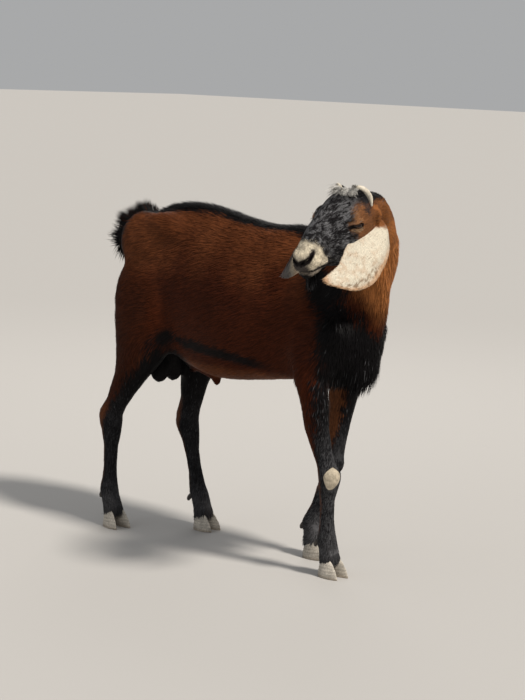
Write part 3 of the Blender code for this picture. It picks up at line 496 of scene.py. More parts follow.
def in_head(points):
    """The same points in the head's axes and head lengths, as they were before the muzzle shrank."""
    face = moved(points, head.inverted())
    before = face[:, 0].copy()
    for _ in range(4):
        before = face[:, 0] + MUZZLE_SHORTER * step(0.58, 1.0, before) * (face[:, 0] > 0.5)
    slim = 1 - MUZZLE_SLIMMER * step(0.58, 1.0, before)
    return np.column_stack((before, face[:, 1] / slim, (face[:, 2] + 0.11) / slim - 0.11))


def on_goat(points):
    """The same points in the axes in which the solid was drawn: the goat's middle at y = 0."""
    return points - np.array(offset)


def near(points, path):
    """Distance from each point to a path through the given corners."""
    path = np.array(path, float)
    best = np.full(len(points), 9.0)
    for a, b in zip(path, path[1:]):
        run = b - a
        share = np.clip((points - a) @ run / (run @ run), 0, 1)
        best = np.minimum(best, np.linalg.norm(points - a - share[:, None] * run, axis=1))
    return best


def on_head(points):
    """1 on the head, 0 on the neck and body."""
    return step(-0.005, 0.030, (points - np.array(cut_at)) @ np.array(cut_way))


# front and rear x and middle y of each leg at heights up to its root, as in the solid
LEGS = {
    ("fore", -1): [(0.038, 0.333, 0.291, -0.031), (0.105, 0.328, 0.284, -0.040), (0.185, 0.328, 0.288, -0.046),
                   (0.240, 0.343, 0.290, -0.053), (0.300, 0.325, 0.273, -0.063), (0.400, 0.319, 0.250, -0.078),
                   (0.520, 0.320, 0.216, -0.079)],
    ("fore", 1): [(0.038, 0.198, 0.156, 0.068), (0.105, 0.194, 0.150, 0.070), (0.185, 0.221, 0.181, 0.073),
                  (0.240, 0.247, 0.194, 0.074), (0.300, 0.254, 0.202, 0.076), (0.400, 0.276, 0.198, 0.080),
                  (0.520, 0.304, 0.190, 0.079)],
    ("hind", -1): [(0.040, -0.329, -0.371, -0.098), (0.108, -0.350, -0.395, -0.095),
                   (0.198, -0.353, -0.3945, -0.092), (0.262, -0.344, -0.412, -0.090),
                   (0.325, -0.312, -0.388, -0.093), (0.405, -0.238, -0.356, -0.095),
                   (0.500, -0.163, -0.359, -0.093), (0.620, -0.168, -0.371, -0.080)],
    ("hind", 1): [(0.040, -0.161, -0.203, 0.058), (0.108, -0.191, -0.237, 0.0625), (0.190, -0.220, -0.262, 0.067),
                  (0.255, -0.229, -0.299, 0.070), (0.325, -0.223, -0.294, 0.077), (0.405, -0.194, -0.305, 0.084),
                  (0.500, -0.155, -0.345, 0.090), (0.620, -0.158, -0.374, 0.080)],
}


def leg_at(end, side, height):
    """Front and rear x and middle y of a leg at a height or heights."""
    rows = np.array(LEGS[end, side])
    return [np.interp(height, rows[:, 0], rows[:, k]) for k in (1, 2, 3)]


def leg_shares(spots):
    """For each point: 0 at the rear to 1 at the front of its leg, 0 inside to 1 outside, and whether
    it is on a fore leg. Points of the trunk count with the leg below them."""
    front_back, out = np.zeros(len(spots)), np.zeros(len(spots))
    fore = spots[:, 0] > 0.02
    for end, side in LEGS:
        mine = (fore == (end == "fore")) & ((spots[:, 1] > (0.015 if end == "fore" else 0)) == (side > 0))
        lead, rear, middle = leg_at(end, side, spots[mine, 2])
        front_back[mine] = (spots[mine, 0] - rear) / (lead - rear)
        out[mine] = 0.5 + side * (spots[mine, 1] - middle) / 0.05
    return front_back, out, fore


MAHOGANY, BAY, RUST = (0.049, 0.0108, 0.0035), (0.122, 0.0385, 0.0135), (0.330, 0.122, 0.037)
BLACK, GREY = (0.0058, 0.0052, 0.0056), (0.150, 0.150, 0.158)
TAN, CREAM = (0.190, 0.080, 0.034), (0.74, 0.65, 0.49)
SLATE, SOOT = (0.0115, 0.0112, 0.0128), (0.040, 0.019, 0.012)
# the middle of the dark stripe, from the tail along the back and up the neck
CREST = [(-0.44, 0, 0.75), (-0.375, 0, 0.775), (-0.30, 0, 0.80), (-0.20, 0, 0.83), (0.00, 0, 0.808),
         (0.16, 0, 0.806), (0.225, 0.002, 0.785), (0.297, -0.004, 0.792), (0.361, -0.031, 0.847),
         (0.417, -0.118, 0.911)]


def markings(points, stray=0.0):
    """The coat's colour at each point, and the share of grey or pale hairs there. stray, from -0.5 to
    0.5, is how far a hair keeps to its own side where two colours meet."""
    spots, face = on_goat(points), in_head(points)
    x, y, z = spots.T
    ragged = mottle(points, 0.016, 3) - 0.5
    fine = mottle(points, 0.006, 5) - 0.5
    wide = mottle(points, 0.060, 8) - 0.5
    hair = ragged * 0.9 + fine * 0.5 + stray * 1.3
    lead, out, fore = leg_shares(spots)
    colour = np.tile(MAHOGANY, (len(points), 1))
    grey = np.zeros(len(points))

    def paint(tone, share):
        blend(colour, tone, share)

    # redder and lighter along the back and croup, darker down the flanks: partly the coat's own colour, partly
    # painted sunlight on the top and painted shade on the flanks; rusty on the outside of the neck and along the
    # belly
    paint(BAY, step(0.60, 0.80, z + wide * 0.10) * 0.80)
    paint(BAY, step(-0.16, -0.30, x + wide * 0.08) * step(0.30, 0.45, z) * 0.30)
    # painted shade: the haunch and thigh are darkened, partly a darker coat and partly the shade on the
    # hindquarters
    haunch_coat_and_shade = step(-0.17, -0.27, x + wide * 0.05) * step(0.70, 0.58, z + wide * 0.06)
    paint((0.040, 0.0095, 0.0032), haunch_coat_and_shade * 0.8)
    neck_part = step(0.255, 0.330, x * 0.80 + (z - 0.700) * 0.60 + wide * 0.02)
    paint(RUST, neck_part)
    paint(SOOT, neck_part * step(0.78, 0.86, z) * step(0.36, 0.70, mottle(points, 0.022, 15)) * 0.42)
    paint(BAY, step(0.470, 0.440, z + hair * 0.01) * step(0.30, 0.18, x) * step(-0.26, -0.18, x))
    # black: throat, breast and brisket; where it reaches up behind the throat to the shoulder it is partly black
    # hair and partly the head's painted shadow, and the grey hairs low down are partly grey hair and partly
    # painted sheen on the black
    throat = near(spots, [(0.415, -0.120, 0.745), (0.375, -0.098, 0.705), (0.300, -0.075, 0.675)])
    paint(BLACK, step(0.046, 0.026, throat + hair * 0.016))
    front = x - 0.35 * np.abs(y)
    # high behind the throat, the upper edge of the black takes in the head's painted shadow
    top = np.interp(front, [0.262, 0.286, 0.324, 0.344, 0.369, 0.392, 0.407, 0.430],
                    [0.760, 0.662, 0.648, 0.632, 0.628, 0.592, 0.566, 0.556])
    rear = np.interp(z, [0.43, 0.45, 0.53, 0.60, 0.65, 0.70], [0.300, 0.309, 0.308, 0.297, 0.282, 0.262])
    low = (z < 0.47) & (np.abs(y) < 0.045)
    rear = np.where(low, np.interp(np.abs(y), [0.0, 0.045], [0.215, 0.300]), rear)
    chest = step(0.016, -0.016, z - top + hair * 0.026) * step(-0.012, 0.012, x - rear + hair * 0.020)
    paint(BLACK, chest)
    # painted sheen: grey hairs low on the brisket and at its front stand for the gloss on black hair, partly real
    # grey hair
    grey += chest * (0.01 + 0.12 * step(0.51, 0.46, z) + 0.06 * step(0.375, 0.40, x) * step(0.59, 0.55, z))
    # black: back stripe with the croup, crest of the neck and the tail
    crest = near(spots, CREST)
    reach = np.interp(x, [-0.44, -0.36, -0.30, -0.20, -0.10, 0.10, 0.30, 0.42],
                      [0.14, 0.11, 0.068, 0.044, 0.034, 0.036, 0.040, 0.050])
    paint(BLACK, step(1.12, 0.82, (crest + hair * 0.010) / reach))
    # black: a line along the flank over the belly, partly black hair and partly painted shade where the flank
    # turns under; black too on the groin and the inside of the thighs
    line = near(np.column_stack((x, np.abs(y), z)),
                [(-0.170, 0.112, 0.512), (-0.098, 0.110, 0.504), (-0.051, 0.115, 0.499), (0.046, 0.113, 0.492),
                 (0.098, 0.099, 0.484), (0.171, 0.075, 0.475)])
    # painted shade with black hair: the dark line where the flank turns under to the belly
    paint(BLACK, step(0.021, 0.009, line + hair * 0.008) * step(0.185, 0.10, x) * 0.95)
    hind = ~fore & (z < 0.62)
    edge = np.interp(z, [0.10, 0.20, 0.262, 0.293, 0.33, 0.41, 0.45, 0.50, 0.54],
                     [-0.10, 0.12, 0.24, 0.36, 0.48, 0.62, 0.72, 0.84, 1.10])
    hind_front = step(-0.10, 0.12, lead - edge + hair * 0.20) * step(-0.14, -0.19, x)
    inner = step(0.42, 0.16, out + hair * 0.2) * step(0.56, 0.50, z) * step(-0.10, -0.17, x)
    black_hind = np.where(hind, np.maximum(hind_front, inner), 0)
    paint(BLACK, black_hind)
    # black: fore legs, but rusty behind above the knee
    edge = np.interp(z, [0.10, 0.20, 0.257, 0.304, 0.375, 0.440, 0.50],
                     [0.05, 0.10, 0.30, 0.55, 0.68, 0.72, 0.80])
    ahead = step(-0.10, 0.12, lead - edge + hair * 0.20) * step(0.52, 0.47, z + hair * 0.03)
    tucked = step(0.62, 0.36, out + hair * 0.20) * step(0.80, 0.62, lead + hair * 0.20)
    tucked = np.where((y > 0.015) & fore, tucked * step(0.265, 0.30, z + hair * 0.03), 0)
    black_fore = np.where(fore & (z < 0.54), ahead * (1 - tucked), 0)
    paint((0.135, 0.049, 0.019), tucked * step(0.50, 0.44, z))
    paint(BLACK, black_fore)
    black_legs = np.maximum(black_fore, black_hind * 0.5) * step(0.44, 0.24, z)
    paint(SLATE, black_legs)
    rear_edge = step(0.345, 0.300, z) * step(0.09, 0.14, z) * step(0.46, 0.20, lead + hair * 0.16)
    paint((0.150, 0.052, 0.021), rear_edge * 0.9)
    grey += black_legs * 0.21 + step(0.13, 0.07, z) * 0.20
    paint((0.062, 0.060, 0.063), step(0.125, 0.060, z + hair * 0.03) * 0.75)
    # purse and the groin round it black, the sheath red-brown
    purse = near(spots, [(-0.262, 0, 0.50), (-0.275, 0, 0.41)])
    paint(BLACK, step(0.075, 0.055, purse))
    sheath = near(spots, [(-0.225, 0, 0.456), (-0.130, 0, 0.419), (-0.100, 0, 0.385)])
    paint(MAHOGANY, step(0.030, 0.018, sheath) * step(-0.20, -0.16, x))

    # the head: black with grey hairs, tan round the eye, cream muzzle, dark nape
    fx, fy, fz = face.T
    side = np.abs(fy)
    is_head = on_head(points)
    clumps = step(0.36, 0.74, mottle(face, 0.028, 13) * 0.5 + mottle(face, 0.011, 14) * 0.5 + stray * 0.24)
    salt = (clumps ** 2 * step(0.15, 0.42, fx + 0.5 * np.maximum(fz, 0)))[:, None]
    shade = np.array((0.0075, 0.0068, 0.0075)) * (1 - salt) + np.array((0.160, 0.160, 0.168)) * salt

    def wash(tone, share):
        blend(shade, tone, share)

    rough = hair * 0.05
    patch = np.hypot((fx - 0.190) / 0.165, (fz - 0.010) / 0.165) + rough * 3.2
    around = step(1.12, 0.78, patch) * step(0.09, 0.16, side + rough)
    around *= np.where(fy < 0, step(0.13, 0.06, fz + rough), 1)
    wash(TAN, around)
    temple = near(np.column_stack((fx, fz, 0 * fx)), [(0.000, 0.140, 0), (0.092, 0.078, 0)])
    wash((0.030, 0.028, 0.031), step(0.066, 0.036, temple + rough) * 0.9)
    # painted highlight: a lighter orange on the brow over the eye, within the tan patch
    brow = np.hypot(fx - 0.315, (fz - 0.105) / 1.3) + rough
    wash((0.330, 0.165, 0.075), around * step(0.11, 0.03, brow) * 0.55)
    behind = step(0.085, 0.010, fx + rough) * step(0.12, 0.17, side + rough) * step(0.13, 0.06, fz + rough)
    wash(RUST, behind)
    wash(SOOT, behind * step(0.36, 0.70, mottle(face, 0.09, 15)) * 0.50)
    edge = np.interp(fz, [-0.25, -0.192, -0.097, 0.041, 0.110], [0.636, 0.658, 0.702, 0.755, 0.815])
    muzzle = step(-0.030, 0.030, fx - edge + rough)
    mottled = step(0.46, 0.60, mottle(face, 0.034, 11) * 0.5 + mottle(face, 0.014, 12) * 0.5 + stray * 0.16)
    wash(CREAM, muzzle)
    wash((0.130, 0.105, 0.085), muzzle * mottled * 0.46)
    # painted shade: the front of the nose pad and the upper lip under it are darker, partly the pad's own darker
    # skin
    wash((0.110, 0.088, 0.072), muzzle * step(0.95, 1.01, fx - 0.35 * fz + rough) * 0.6)
    nostril = near(np.column_stack((fx, side, fz)),
                   [(0.974, 0.026, -0.078), (0.932, 0.086, -0.052), (0.850, 0.108, 0.008)])
    wash((0.034, 0.028, 0.026), step(0.046, 0.026, nostril + rough * 0.3) * 0.88)
    cleft = near(np.column_stack((fx, 0 * fx, fz)), [(0.985, 0, -0.10), (0.955, 0, -0.17)])
    wash((0.060, 0.050, 0.044), step(0.030, 0.014, cleft))
    # black lips, chin and a thread of black from the nostril to the lip
    lip = np.abs(fz + 0.181) + rough * 0.2
    wash((0.014, 0.012, 0.012), step(0.019, 0.009, lip) * step(0.62, 0.66, fx))
    wash((0.170, 0.140, 0.115), step(-0.188, -0.196, fz) * step(0.62, 0.68, fx) * 0.9)
    wash((0.022, 0.019, 0.018), step(0.80, 0.60, fx) * step(-0.165, -0.190, fz) * step(0.52, 0.60, fx) * 0.7)
    wash(BLACK, step(-0.214, -0.232, fz + rough * 0.5) * step(0.50, 0.62, fx))
    for hand in (-1, 1):
        # the pale line under the lower lid
        local = moved(points, lid_frame(hand).inverted())
        under = near(np.column_stack((local[:, 0], 0 * x, local[:, 2])),
                     [(-0.0150, 0, -0.0050), (0.0, 0, -0.0088), (0.0120, 0, -0.0072)])
        wash((0.50, 0.33, 0.20), step(0.0044, 0.0018, under) * (np.abs(local[:, 1] - 0.010) < 0.02) * 0.85)
    head_grey = 0.03 + 0.16 * clumps * step(0.20, 0.42, fx + 0.5 * np.maximum(fz, 0))
    head_grey = np.where(muzzle > 0.5, 0.02, head_grey * (1 - around * 0.8))
    paint(shade, is_head)
    grey = grey * (1 - is_head) + head_grey * is_head
    return np.clip(colour * (0.92 + 0.30 * wide + 0.16 * fine)[:, None], 0, 1), np.clip(grey, 0, 0.6)


def lie(points, normals):
    """The way the hair points: back along the body, down the legs, and from nose to poll."""
    spots, face = on_goat(points), in_head(points)
    x, y, z = spots.T
    flow = np.tile((-1.0, 0.0, -0.42), (len(points), 1))
    blend(flow, (-1.0, 0, 0), step(0.70, 0.80, z))
    over_legs = np.maximum(step(0.14, 0.22, x), step(-0.12, -0.20, x))
    blend(flow, (-0.18, 0, -1.0), step(0.56, 0.42, z) * over_legs)
    blend(flow, (-0.1, 0, -1.0), step(-0.29, -0.36, x) * step(0.78, 0.72, z))
    blend(flow, (-0.45, 0.30, -0.80), step(0.20, 0.34, x * 0.80 + (z - 0.700) * 0.60 + 0.03))
    blend(flow, (-0.10, 0, -1.0), step(0.28, 0.34, x) * step(0.72, 0.62, z))
    on_face = np.tile(head_axes @ Vector((-1, 0, -0.10)), (len(points), 1))
    cheek = step(-0.05, -0.25, face[:, 2]) * step(0.60, 0.35, face[:, 0])
    blend(on_face, head_axes @ Vector((-0.75, 0, -0.65)), cheek)
    blend(flow, on_face, on_head(points))
    return flat_on(flow + sway(points, 0.035, 21) * 0.42, normals)


COAT_BODY, COAT_LEG = (0.0235, 0.0023, 0.0036, 84000), (0.0098, 0.0012, 0.0019, 300000)
COAT_FACE, COAT_NOSE = (0.0105, 0.0012, 0.0016, 440000), (0.0055, 0.0009, 0.0007, 600000)


def coat_sizes(points):
    """Length, width and depth of the hair at each point, in metres, and how many tufts a square metre."""
    spots, height = on_goat(points), on_goat(points)[:, 2]
    sizes = np.tile(COAT_BODY, (len(points), 1))
    blend(sizes, COAT_LEG, step(0.50, 0.30, height))
    sheath = step(0.045, 0.025, near(spots, [(-0.130, 0, 0.415), (-0.100, 0, 0.385)]))
    purse = step(0.065, 0.045, near(spots, [(-0.265, 0, 0.48), (-0.275, 0, 0.40)]))
    sizes[:, 0] *= (1 - 0.65 * sheath) * (1 - 0.60 * purse) * (1 + step(0.064, 0.044, height))
    on_face = np.tile(COAT_FACE, (len(points), 1))
    blend(on_face, COAT_NOSE, step(0.45, 0.80, in_head(points)[:, 0]))
    blend(sizes, on_face, on_head(points))
    return sizes


def nostril_inside(side):
    return [(0.905, side * 0.052, -0.092), (0.862, side * 0.080, -0.058)]


points = numbers(hide_mesh.vertices, "co")
points -= numbers(hide_mesh.vertices, "normal") * coat_sizes(points)[:, 2:3]
# the muzzle is a little shorter and slimmer than the skull's sections make it
face = moved(points, head.inverted())
share = step(0.58, 1.0, face[:, 0]) * (on_head(points) > 0.5)
face[:, 0] -= MUZZLE_SHORTER * share
face[:, 1] *= 1 - MUZZLE_SLIMMER * share
face[:, 2] = (face[:, 2] + 0.11) * (1 - MUZZLE_SLIMMER * share) - 0.11
# and the nape dips behind the horns
dip = 0.052 * step(0.05, -0.07, face[:, 0]) * step(-0.50, -0.26, face[:, 0])
face[:, 2] -= dip * step(0.0, 0.12, face[:, 2])
points = moved(face, head)
hide_mesh.vertices.foreach_set("co", points.astype(np.float32).ravel())
hide_mesh.update()
hide_colour, hide_grey = markings(points)
face = in_head(points)
for side in (-1, 1):
    # black rims to the lids with the tear duct in front, and the inside of the nostril
    local = moved(points, lid_frame(side).inverted())
    rim = near(np.column_stack((local[:, 0], 0 * points[:, 0], local[:, 2])),
               [(-0.0135, 0, 0.0008), (0.0, 0, 0.0004), (0.0130, 0, -0.0006), (0.0180, 0, -0.0030)])
    dark = step(0.0056, 0.0034, rim) * (np.abs(local[:, 1] - 0.012) < 0.022)
    hole = [(0.974, side * 0.026, -0.078), (0.932, side * 0.084, -0.052), (0.860, side * 0.105, 0.0)]
    dark = np.maximum(dark, step(0.036, 0.025, near(face, hole)))
    dark = np.maximum(dark, step(0.034, 0.024, near(face, nostril_inside(side))))
    blend(hide_colour, (0.012, 0.009, 0.009), dark)
    hide_grey *= 1 - dark


def painted(mesh, colours, look):
    """Gives a mesh its colour at each vertex, smooth shading and its material."""
    layer = mesh.color_attributes.new("tint", "FLOAT_COLOR", "POINT")
    opaque = np.column_stack((colours, np.ones(len(colours))))
    layer.data.foreach_set("color", opaque.astype(np.float32).ravel())
    mesh.shade_smooth()
    mesh.materials.clear()
    mesh.materials.append(look)


def coat_look(name, roughness, streak, bump, sheen=0.0, shine=0.045):
    """Hair: the colour painted on the mesh, broken by fine noise, with a soft gloss and a fine bump."""
    look, nodes, links, shader = material(name)
    paint, place = nodes.new("ShaderNodeAttribute"), nodes.new("ShaderNodeTexCoord")
    noise, spread = nodes.new("ShaderNodeTexNoise"), nodes.new("ShaderNodeMapRange")
    mix, rise = nodes.new("ShaderNodeVectorMath"), nodes.new("ShaderNodeBump")
    paint.attribute_name = "tint"
    mix.operation = "SCALE"
    settle(noise, Scale=streak, Detail=4)
    settle(spread, From_Min=0.3, From_Max=0.7, To_Min=0.72, To_Max=1.25)
    settle(rise, Strength=bump, Distance=0.0008)
    settle(shader, Roughness=roughness, Specular_IOR_Level=shine, Sheen_Weight=sheen, Sheen_Roughness=0.45)
    links.new(place.outputs["Object"], noise.inputs["Vector"])
    links.new(noise.outputs["Fac"], spread.inputs["Value"])
    links.new(paint.outputs["Color"], mix.inputs[0])
    links.new(spread.outputs["Result"], mix.inputs["Scale"])
    links.new(mix.outputs["Vector"], shader.inputs["Base Color"])
    links.new(noise.outputs["Fac"], rise.inputs["Height"])
    links.new(rise.outputs["Normal"], shader.inputs["Normal"])
    return look


hide_look = coat_look("hide_under_hair", 0.62, 420, 0.5)
fur_look = coat_look("short_glossy_hair", 0.44, 900, 0.2)
face_look = coat_look("short_dull_hair", 0.66, 900, 0.2)
hide_colour *= 0.8
blend(hide_colour, GREY, hide_grey)
painted(hide_mesh, hide_colour, hide_look)
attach(hide, "root")
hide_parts(*FLESH)

# Coat: short tufts rooted all over the hide, each a thin ridged blade of hair that lies along the
# body. They are drawn by chance from the hide's faces, as dense as the coat is at each place.

draws = np.random.default_rng(41)
hide_mesh.calc_loop_triangles()
triangles = numbers(hide_mesh.loop_triangles, "vertices", 3, np.int32)
points = numbers(hide_mesh.vertices, "co")
normals = numbers(hide_mesh.vertices, "normal")


def scattered(count_by_face, corners, mesh_points, mesh_normals):
    """Places strewn over triangles in the amounts given, with the normal at each."""
    whole = np.floor(count_by_face + draws.random(len(count_by_face))).astype(int)
    chosen = np.repeat(np.arange(len(corners)), whole)
    a, b = draws.random(len(chosen)), draws.random(len(chosen))
    flip = a + b > 1
    a, b = np.where(flip, 1 - a, a), np.where(flip, 1 - b, b)
    weights = np.column_stack((1 - a - b, a, b))
    ids = corners[chosen]
    place, normal = ((field[ids] * weights[:, :, None]).sum(1) for field in (mesh_points, mesh_normals))
    return place, unit(normal)


def face_areas(mesh_points, corners):
    a, b, c = (mesh_points[corners[:, k]] for k in range(3))
    return np.linalg.norm(np.cross(b - a, c - a), axis=1) / 2


def unwrapped(roots, outward):
    """Each root's place on an unwrap of the skin: six charts by the way it faces, side by side,
    each as wide as its share of the roots."""
    way = np.argmax(np.abs(outward), axis=1)
    chart = way * 2 + (outward[np.arange(len(roots)), way] > 0)
    flat = np.zeros((len(roots), 2))
    start = 0.0
    for k in range(6):
        mine = chart == k
        if not mine.any():
            continue
        span = mine.mean()
        pair = [axis for axis in range(3) if axis != k // 2]
        spots = roots[mine][:, pair]
        low, high = spots.min(0), spots.max(0)
        share = (spots - low) / np.maximum(high - low, 1e-6)
        flat[mine, 0] = start + span * (0.02 + 0.96 * share[:, 0])
        flat[mine, 1] = 0.01 + 0.98 * share[:, 1]
        start += span
    return flat


# the share of its width at which each step of a blade starts, and how deep its root sinks, in metres
TAPER = (0.5, 0.46, 0.38, 0.30)
ROOT_SUNK = 0.0006


def tufts(name, roots, outward, flow, length, width, lift, colours, look, steps=2, droop=None,
          tone=(0.82, 1.08), ridge=0.14):
    """One mesh of ridged blades, with width and lift in degrees one for all or one each. droop is the way that
    long hair turns towards its tip, and tone the colour's factor from root to tip: darker at the root as painted
    shade deep in the coat, lighter at the tip."""
    count = len(roots)
    width, lift = np.broadcast_to(width, count), np.broadcast_to(lift, count)
    across = unit(np.cross(outward, flow))
    rise = np.tan(np.radians(lift))[:, None]
    start = unit(flow + outward * rise)
    end = unit(flow + outward * rise * 0.25 if droop is None else droop)
    centre = roots - outward * ROOT_SUNK
    rows = []
    shares = np.arange(steps + 1) / steps
    for k, share in enumerate(shares[:-1]):
        half = (width * TAPER[k])[:, None]
        high = outward * (half * 2 * ridge)
        rows += [centre - across * half, centre + high, centre + across * half]
        way = unit(start + (end - start) * min(1.0, (share + 0.5 / steps) * 1.1))
        centre = centre + way * (length / steps)[:, None]
    rows.append(centre)
    verts = np.stack(rows, axis=1)
    each = verts.shape[1]
    pattern, patch = [], []
    for k in range(steps - 1):
        a, b = 3 * k, 3 * k + 3
        pattern += [(a, a + 1, b + 1), (a, b + 1, b), (a + 1, a + 2, b + 2), (a + 1, b + 2, b + 1)]
    last = 3 * (steps - 1)
    pattern += [(last, last + 1, each - 1), (last + 1, last + 2, each - 1)]
    pattern = np.array(pattern)[:, ::-1]
    corners = (np.arange(count)[:, None, None] * each + pattern[None]).reshape(-1)
    spots = [(u * 0.0015, share * 0.003) for share in shares[:-1] for u in (-1, 0, 1)] + [(0, 0.003)]
    spots = np.array(spots)[pattern.reshape(-1)]
    flat = (unwrapped(roots, outward)[:, None, :] * 0.994 + 0.0015 + spots[None]).reshape(-1, 2)
    mesh = bpy.data.meshes.new(name)
    mesh.vertices.add(count * each)
    mesh.vertices.foreach_set("co", verts.astype(np.float32).ravel())
    mesh.loops.add(len(corners))
    mesh.loops.foreach_set("vertex_index", corners.astype(np.int32))
    mesh.polygons.add(len(corners) // 3)
    mesh.polygons.foreach_set("loop_start", np.arange(0, len(corners), 3, dtype=np.int32))
    mesh.update(calc_edges=True)
    mesh.uv_layers.new(name="OFBake").data.foreach_set("uv", flat.astype(np.float32).ravel())
    # painted shade: each blade's colour darkens towards its root, as down in the coat, and lightens towards its
    # tip
    root_shade_to_tip = [tone[0] + (tone[1] - tone[0]) * share for share in shares[:-1] for _ in range(3)]
    root_shade_to_tip = np.array(root_shade_to_tip + [tone[1]])
    painted(mesh, np.clip((colours[:, None, :] * root_shade_to_tip[None, :, None]).reshape(-1, 3), 0, 1), look)
    made = linked(name, mesh)
    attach(made, "root")
    return made


def hair_colours(roots):
    """The marking at each root, varied from hair to hair, with grey hairs where the coat has them."""
    spread = 0.34
    colours, grey = markings(roots, draws.random(len(roots)) - 0.5)
    colours = colours * (1 + spread * (draws.random(len(roots)) - 0.5) * 2)[:, None]
    is_grey = draws.random(len(roots)) < grey
    pale = np.array(GREY) * (0.30 + 0.65 * draws.random(len(roots)) ** 2)[:, None]
    pale *= (0.50 + 0.50 * on_head(roots))[:, None]
    return np.where(is_grey[:, None], pale, colours)


# nothing grows in the slits of the lids, the nostrils, between the lips or on the callus
CALLUS = offset + Vector((0.342, -0.063, 0.236))


def bare_share(spots):
    """1 where hair may grow, 0 where the skin is bare."""
    face = in_head(spots)
    grows = np.ones(len(spots))
    for side in (-1, 1):
        eye_at = np.array(lid_frame(side).translation)
        local = moved(spots, lid_frame(side).inverted())
        inside = np.hypot(local[:, 0] / 0.0168, (local[:, 2] - 0.0002) / 0.0070)
        grows *= np.where(np.linalg.norm(spots - eye_at, axis=1) < 0.028, step(0.95, 1.15, inside), 1)
        hole = [(0.972, side * 0.026, -0.078), (0.930, side * 0.092, -0.052), (0.860, side * 0.115, 0.0)]
        grows *= step(0.025, 0.037, near(face, hole))
        grows *= step(0.028, 0.036, near(face, nostril_inside(side)))
    grows *= step(0.030, 0.050, near(face, [(0.985, 0, -0.06), (0.965, 0, -0.13)]))
    grows *= np.where(face[:, 0] > 0.60, step(0.008, 0.016, np.abs(face[:, 2] + 0.182)), 1)
    grows *= step(0.0205, 0.0235, np.linalg.norm((spots - np.array(CALLUS)) * (0.9, 1.0, 0.78), axis=1))
    grows *= step(0.0275, 0.0285, spots[:, 2])
    return grows


thin = 1.0
middle = points[triangles].mean(1)
amount = coat_sizes(middle)[:, 3] * bare_share(middle) * face_areas(points, triangles) * thin
roots, outward = scattered(amount, triangles, points, normals)
flow = lie(roots, outward)
sizes = coat_sizes(roots)
varied = 0.80 + 0.4 * draws.random(len(roots))
clump = 0.7 + 0.6 * mottle(roots, 0.012, 31)
colours = hair_colours(roots)
x, y, z = on_goat(roots).T
# below the elbow and the stifle, and before the middle of the trunk
low, fore = z < 0.40, x > 0.02
COATS = {
    "face_left": (on_head(roots) > 0.5) & (in_head(roots)[:, 1] > 0),
    "face_right": on_head(roots) > 0.5,
    "neck": x * 0.8 + (z - 0.62) * 0.6 > 0.225,
    "fore_leg_left": low & fore & (y > 0.015),
    "fore_leg_right": low & fore,
    "hind_leg_left": low & (y > 0),
    "hind_leg_right": low,
    "shoulder_left": (x > -0.05) & (y > 0),
    "shoulder_right": x > -0.05,
    "quarter_left": y > 0,
    "quarter_right": y <= 0,
}
free = np.ones(len(roots), bool)
for word, mine in COATS.items():
    # each piece takes the roots that the ones before it left free
    mine = mine & free
    free &= ~mine
    dark = "face" in word or "leg" in word
    lifts = (5 + 9 * draws.random(mine.sum())) * clump[mine]
    made = tufts(f"coat_{word}", roots[mine], outward[mine], flow[mine], sizes[mine, 0] * varied[mine],
                 sizes[mine, 1] * varied[mine] * (1), lifts, colours[mine],
                 face_look if "face" in word else fur_look)

# Long hair: the raised stripe along the back, the brush of the tail, the pale tuft on the poll, the
# beard, and the shaggy breast and throat, in thin locks that leave the coat and bend.

lock_look = coat_look("long_coarse_hair", 0.42, 700, 0.2)


def sprouts(mask, density):
    """Roots on the hide where mask, a function of place from 0 to 1, is high."""
    share = mask(middle)
    density = np.where(share > 0.02, share, 0) * density * 1.0
    return scattered(density * face_areas(points, triangles), triangles, points, normals)


def crest_mask(place):
    spots = on_goat(place)
    wide = np.interp(spots[:, 0], [-0.44, -0.25, -0.10, 0.10, 0.42], [0.060, 0.040, 0.026, 0.026, 0.034])
    return step(1.1, 0.6, near(spots, CREST) / wide) * (1 - on_head(place))


place, out = sprouts(crest_mask, 95000)
spots = on_goat(place)
size = np.interp(spots[:, 0], [-0.40, -0.26, -0.12, 0.05, 0.20, 0.40],
                 [0.028, 0.031, 0.027, 0.021, 0.023, 0.016])
size = size * (0.65 + 0.6 * draws.random(len(place)))
made = tufts("locks_back", place, out, lie(place, out), size, 0.0019,
             12 + 22 * draws.random(len(place)), hair_colours(place), lock_look, steps=3)


def breast_mask(place):
    spots = on_goat(place)
    path = [(0.335, -0.095, 0.660), (0.345, -0.070, 0.580), (0.352, -0.010, 0.520), (0.300, 0.0, 0.455)]
    return step(0.085, 0.055, near(spots, path)) * (1 - on_head(place)) * step(0.23, 0.27, spots[:, 0])


place, out = sprouts(breast_mask, 78000)
spots = on_goat(place)
low = step(0.56, 0.46, spots[:, 2])
size = (0.017 + 0.019 * low) * (0.6 + 0.7 * draws.random(len(place)))
fall = np.column_stack((-0.15 + 0.5 * (mottle(place, 0.03, 61) - 0.5),
                        0.6 * (mottle(place, 0.03, 62) - 0.5), np.full(len(place), -1.0)))
made = tufts("locks_breast", place, out, lie(place, out), size, 0.0017,
             8 + 18 * draws.random(len(place)) * (0.6 + mottle(place, 0.02, 63)), hair_colours(place),
             lock_look, steps=4, droop=fall)

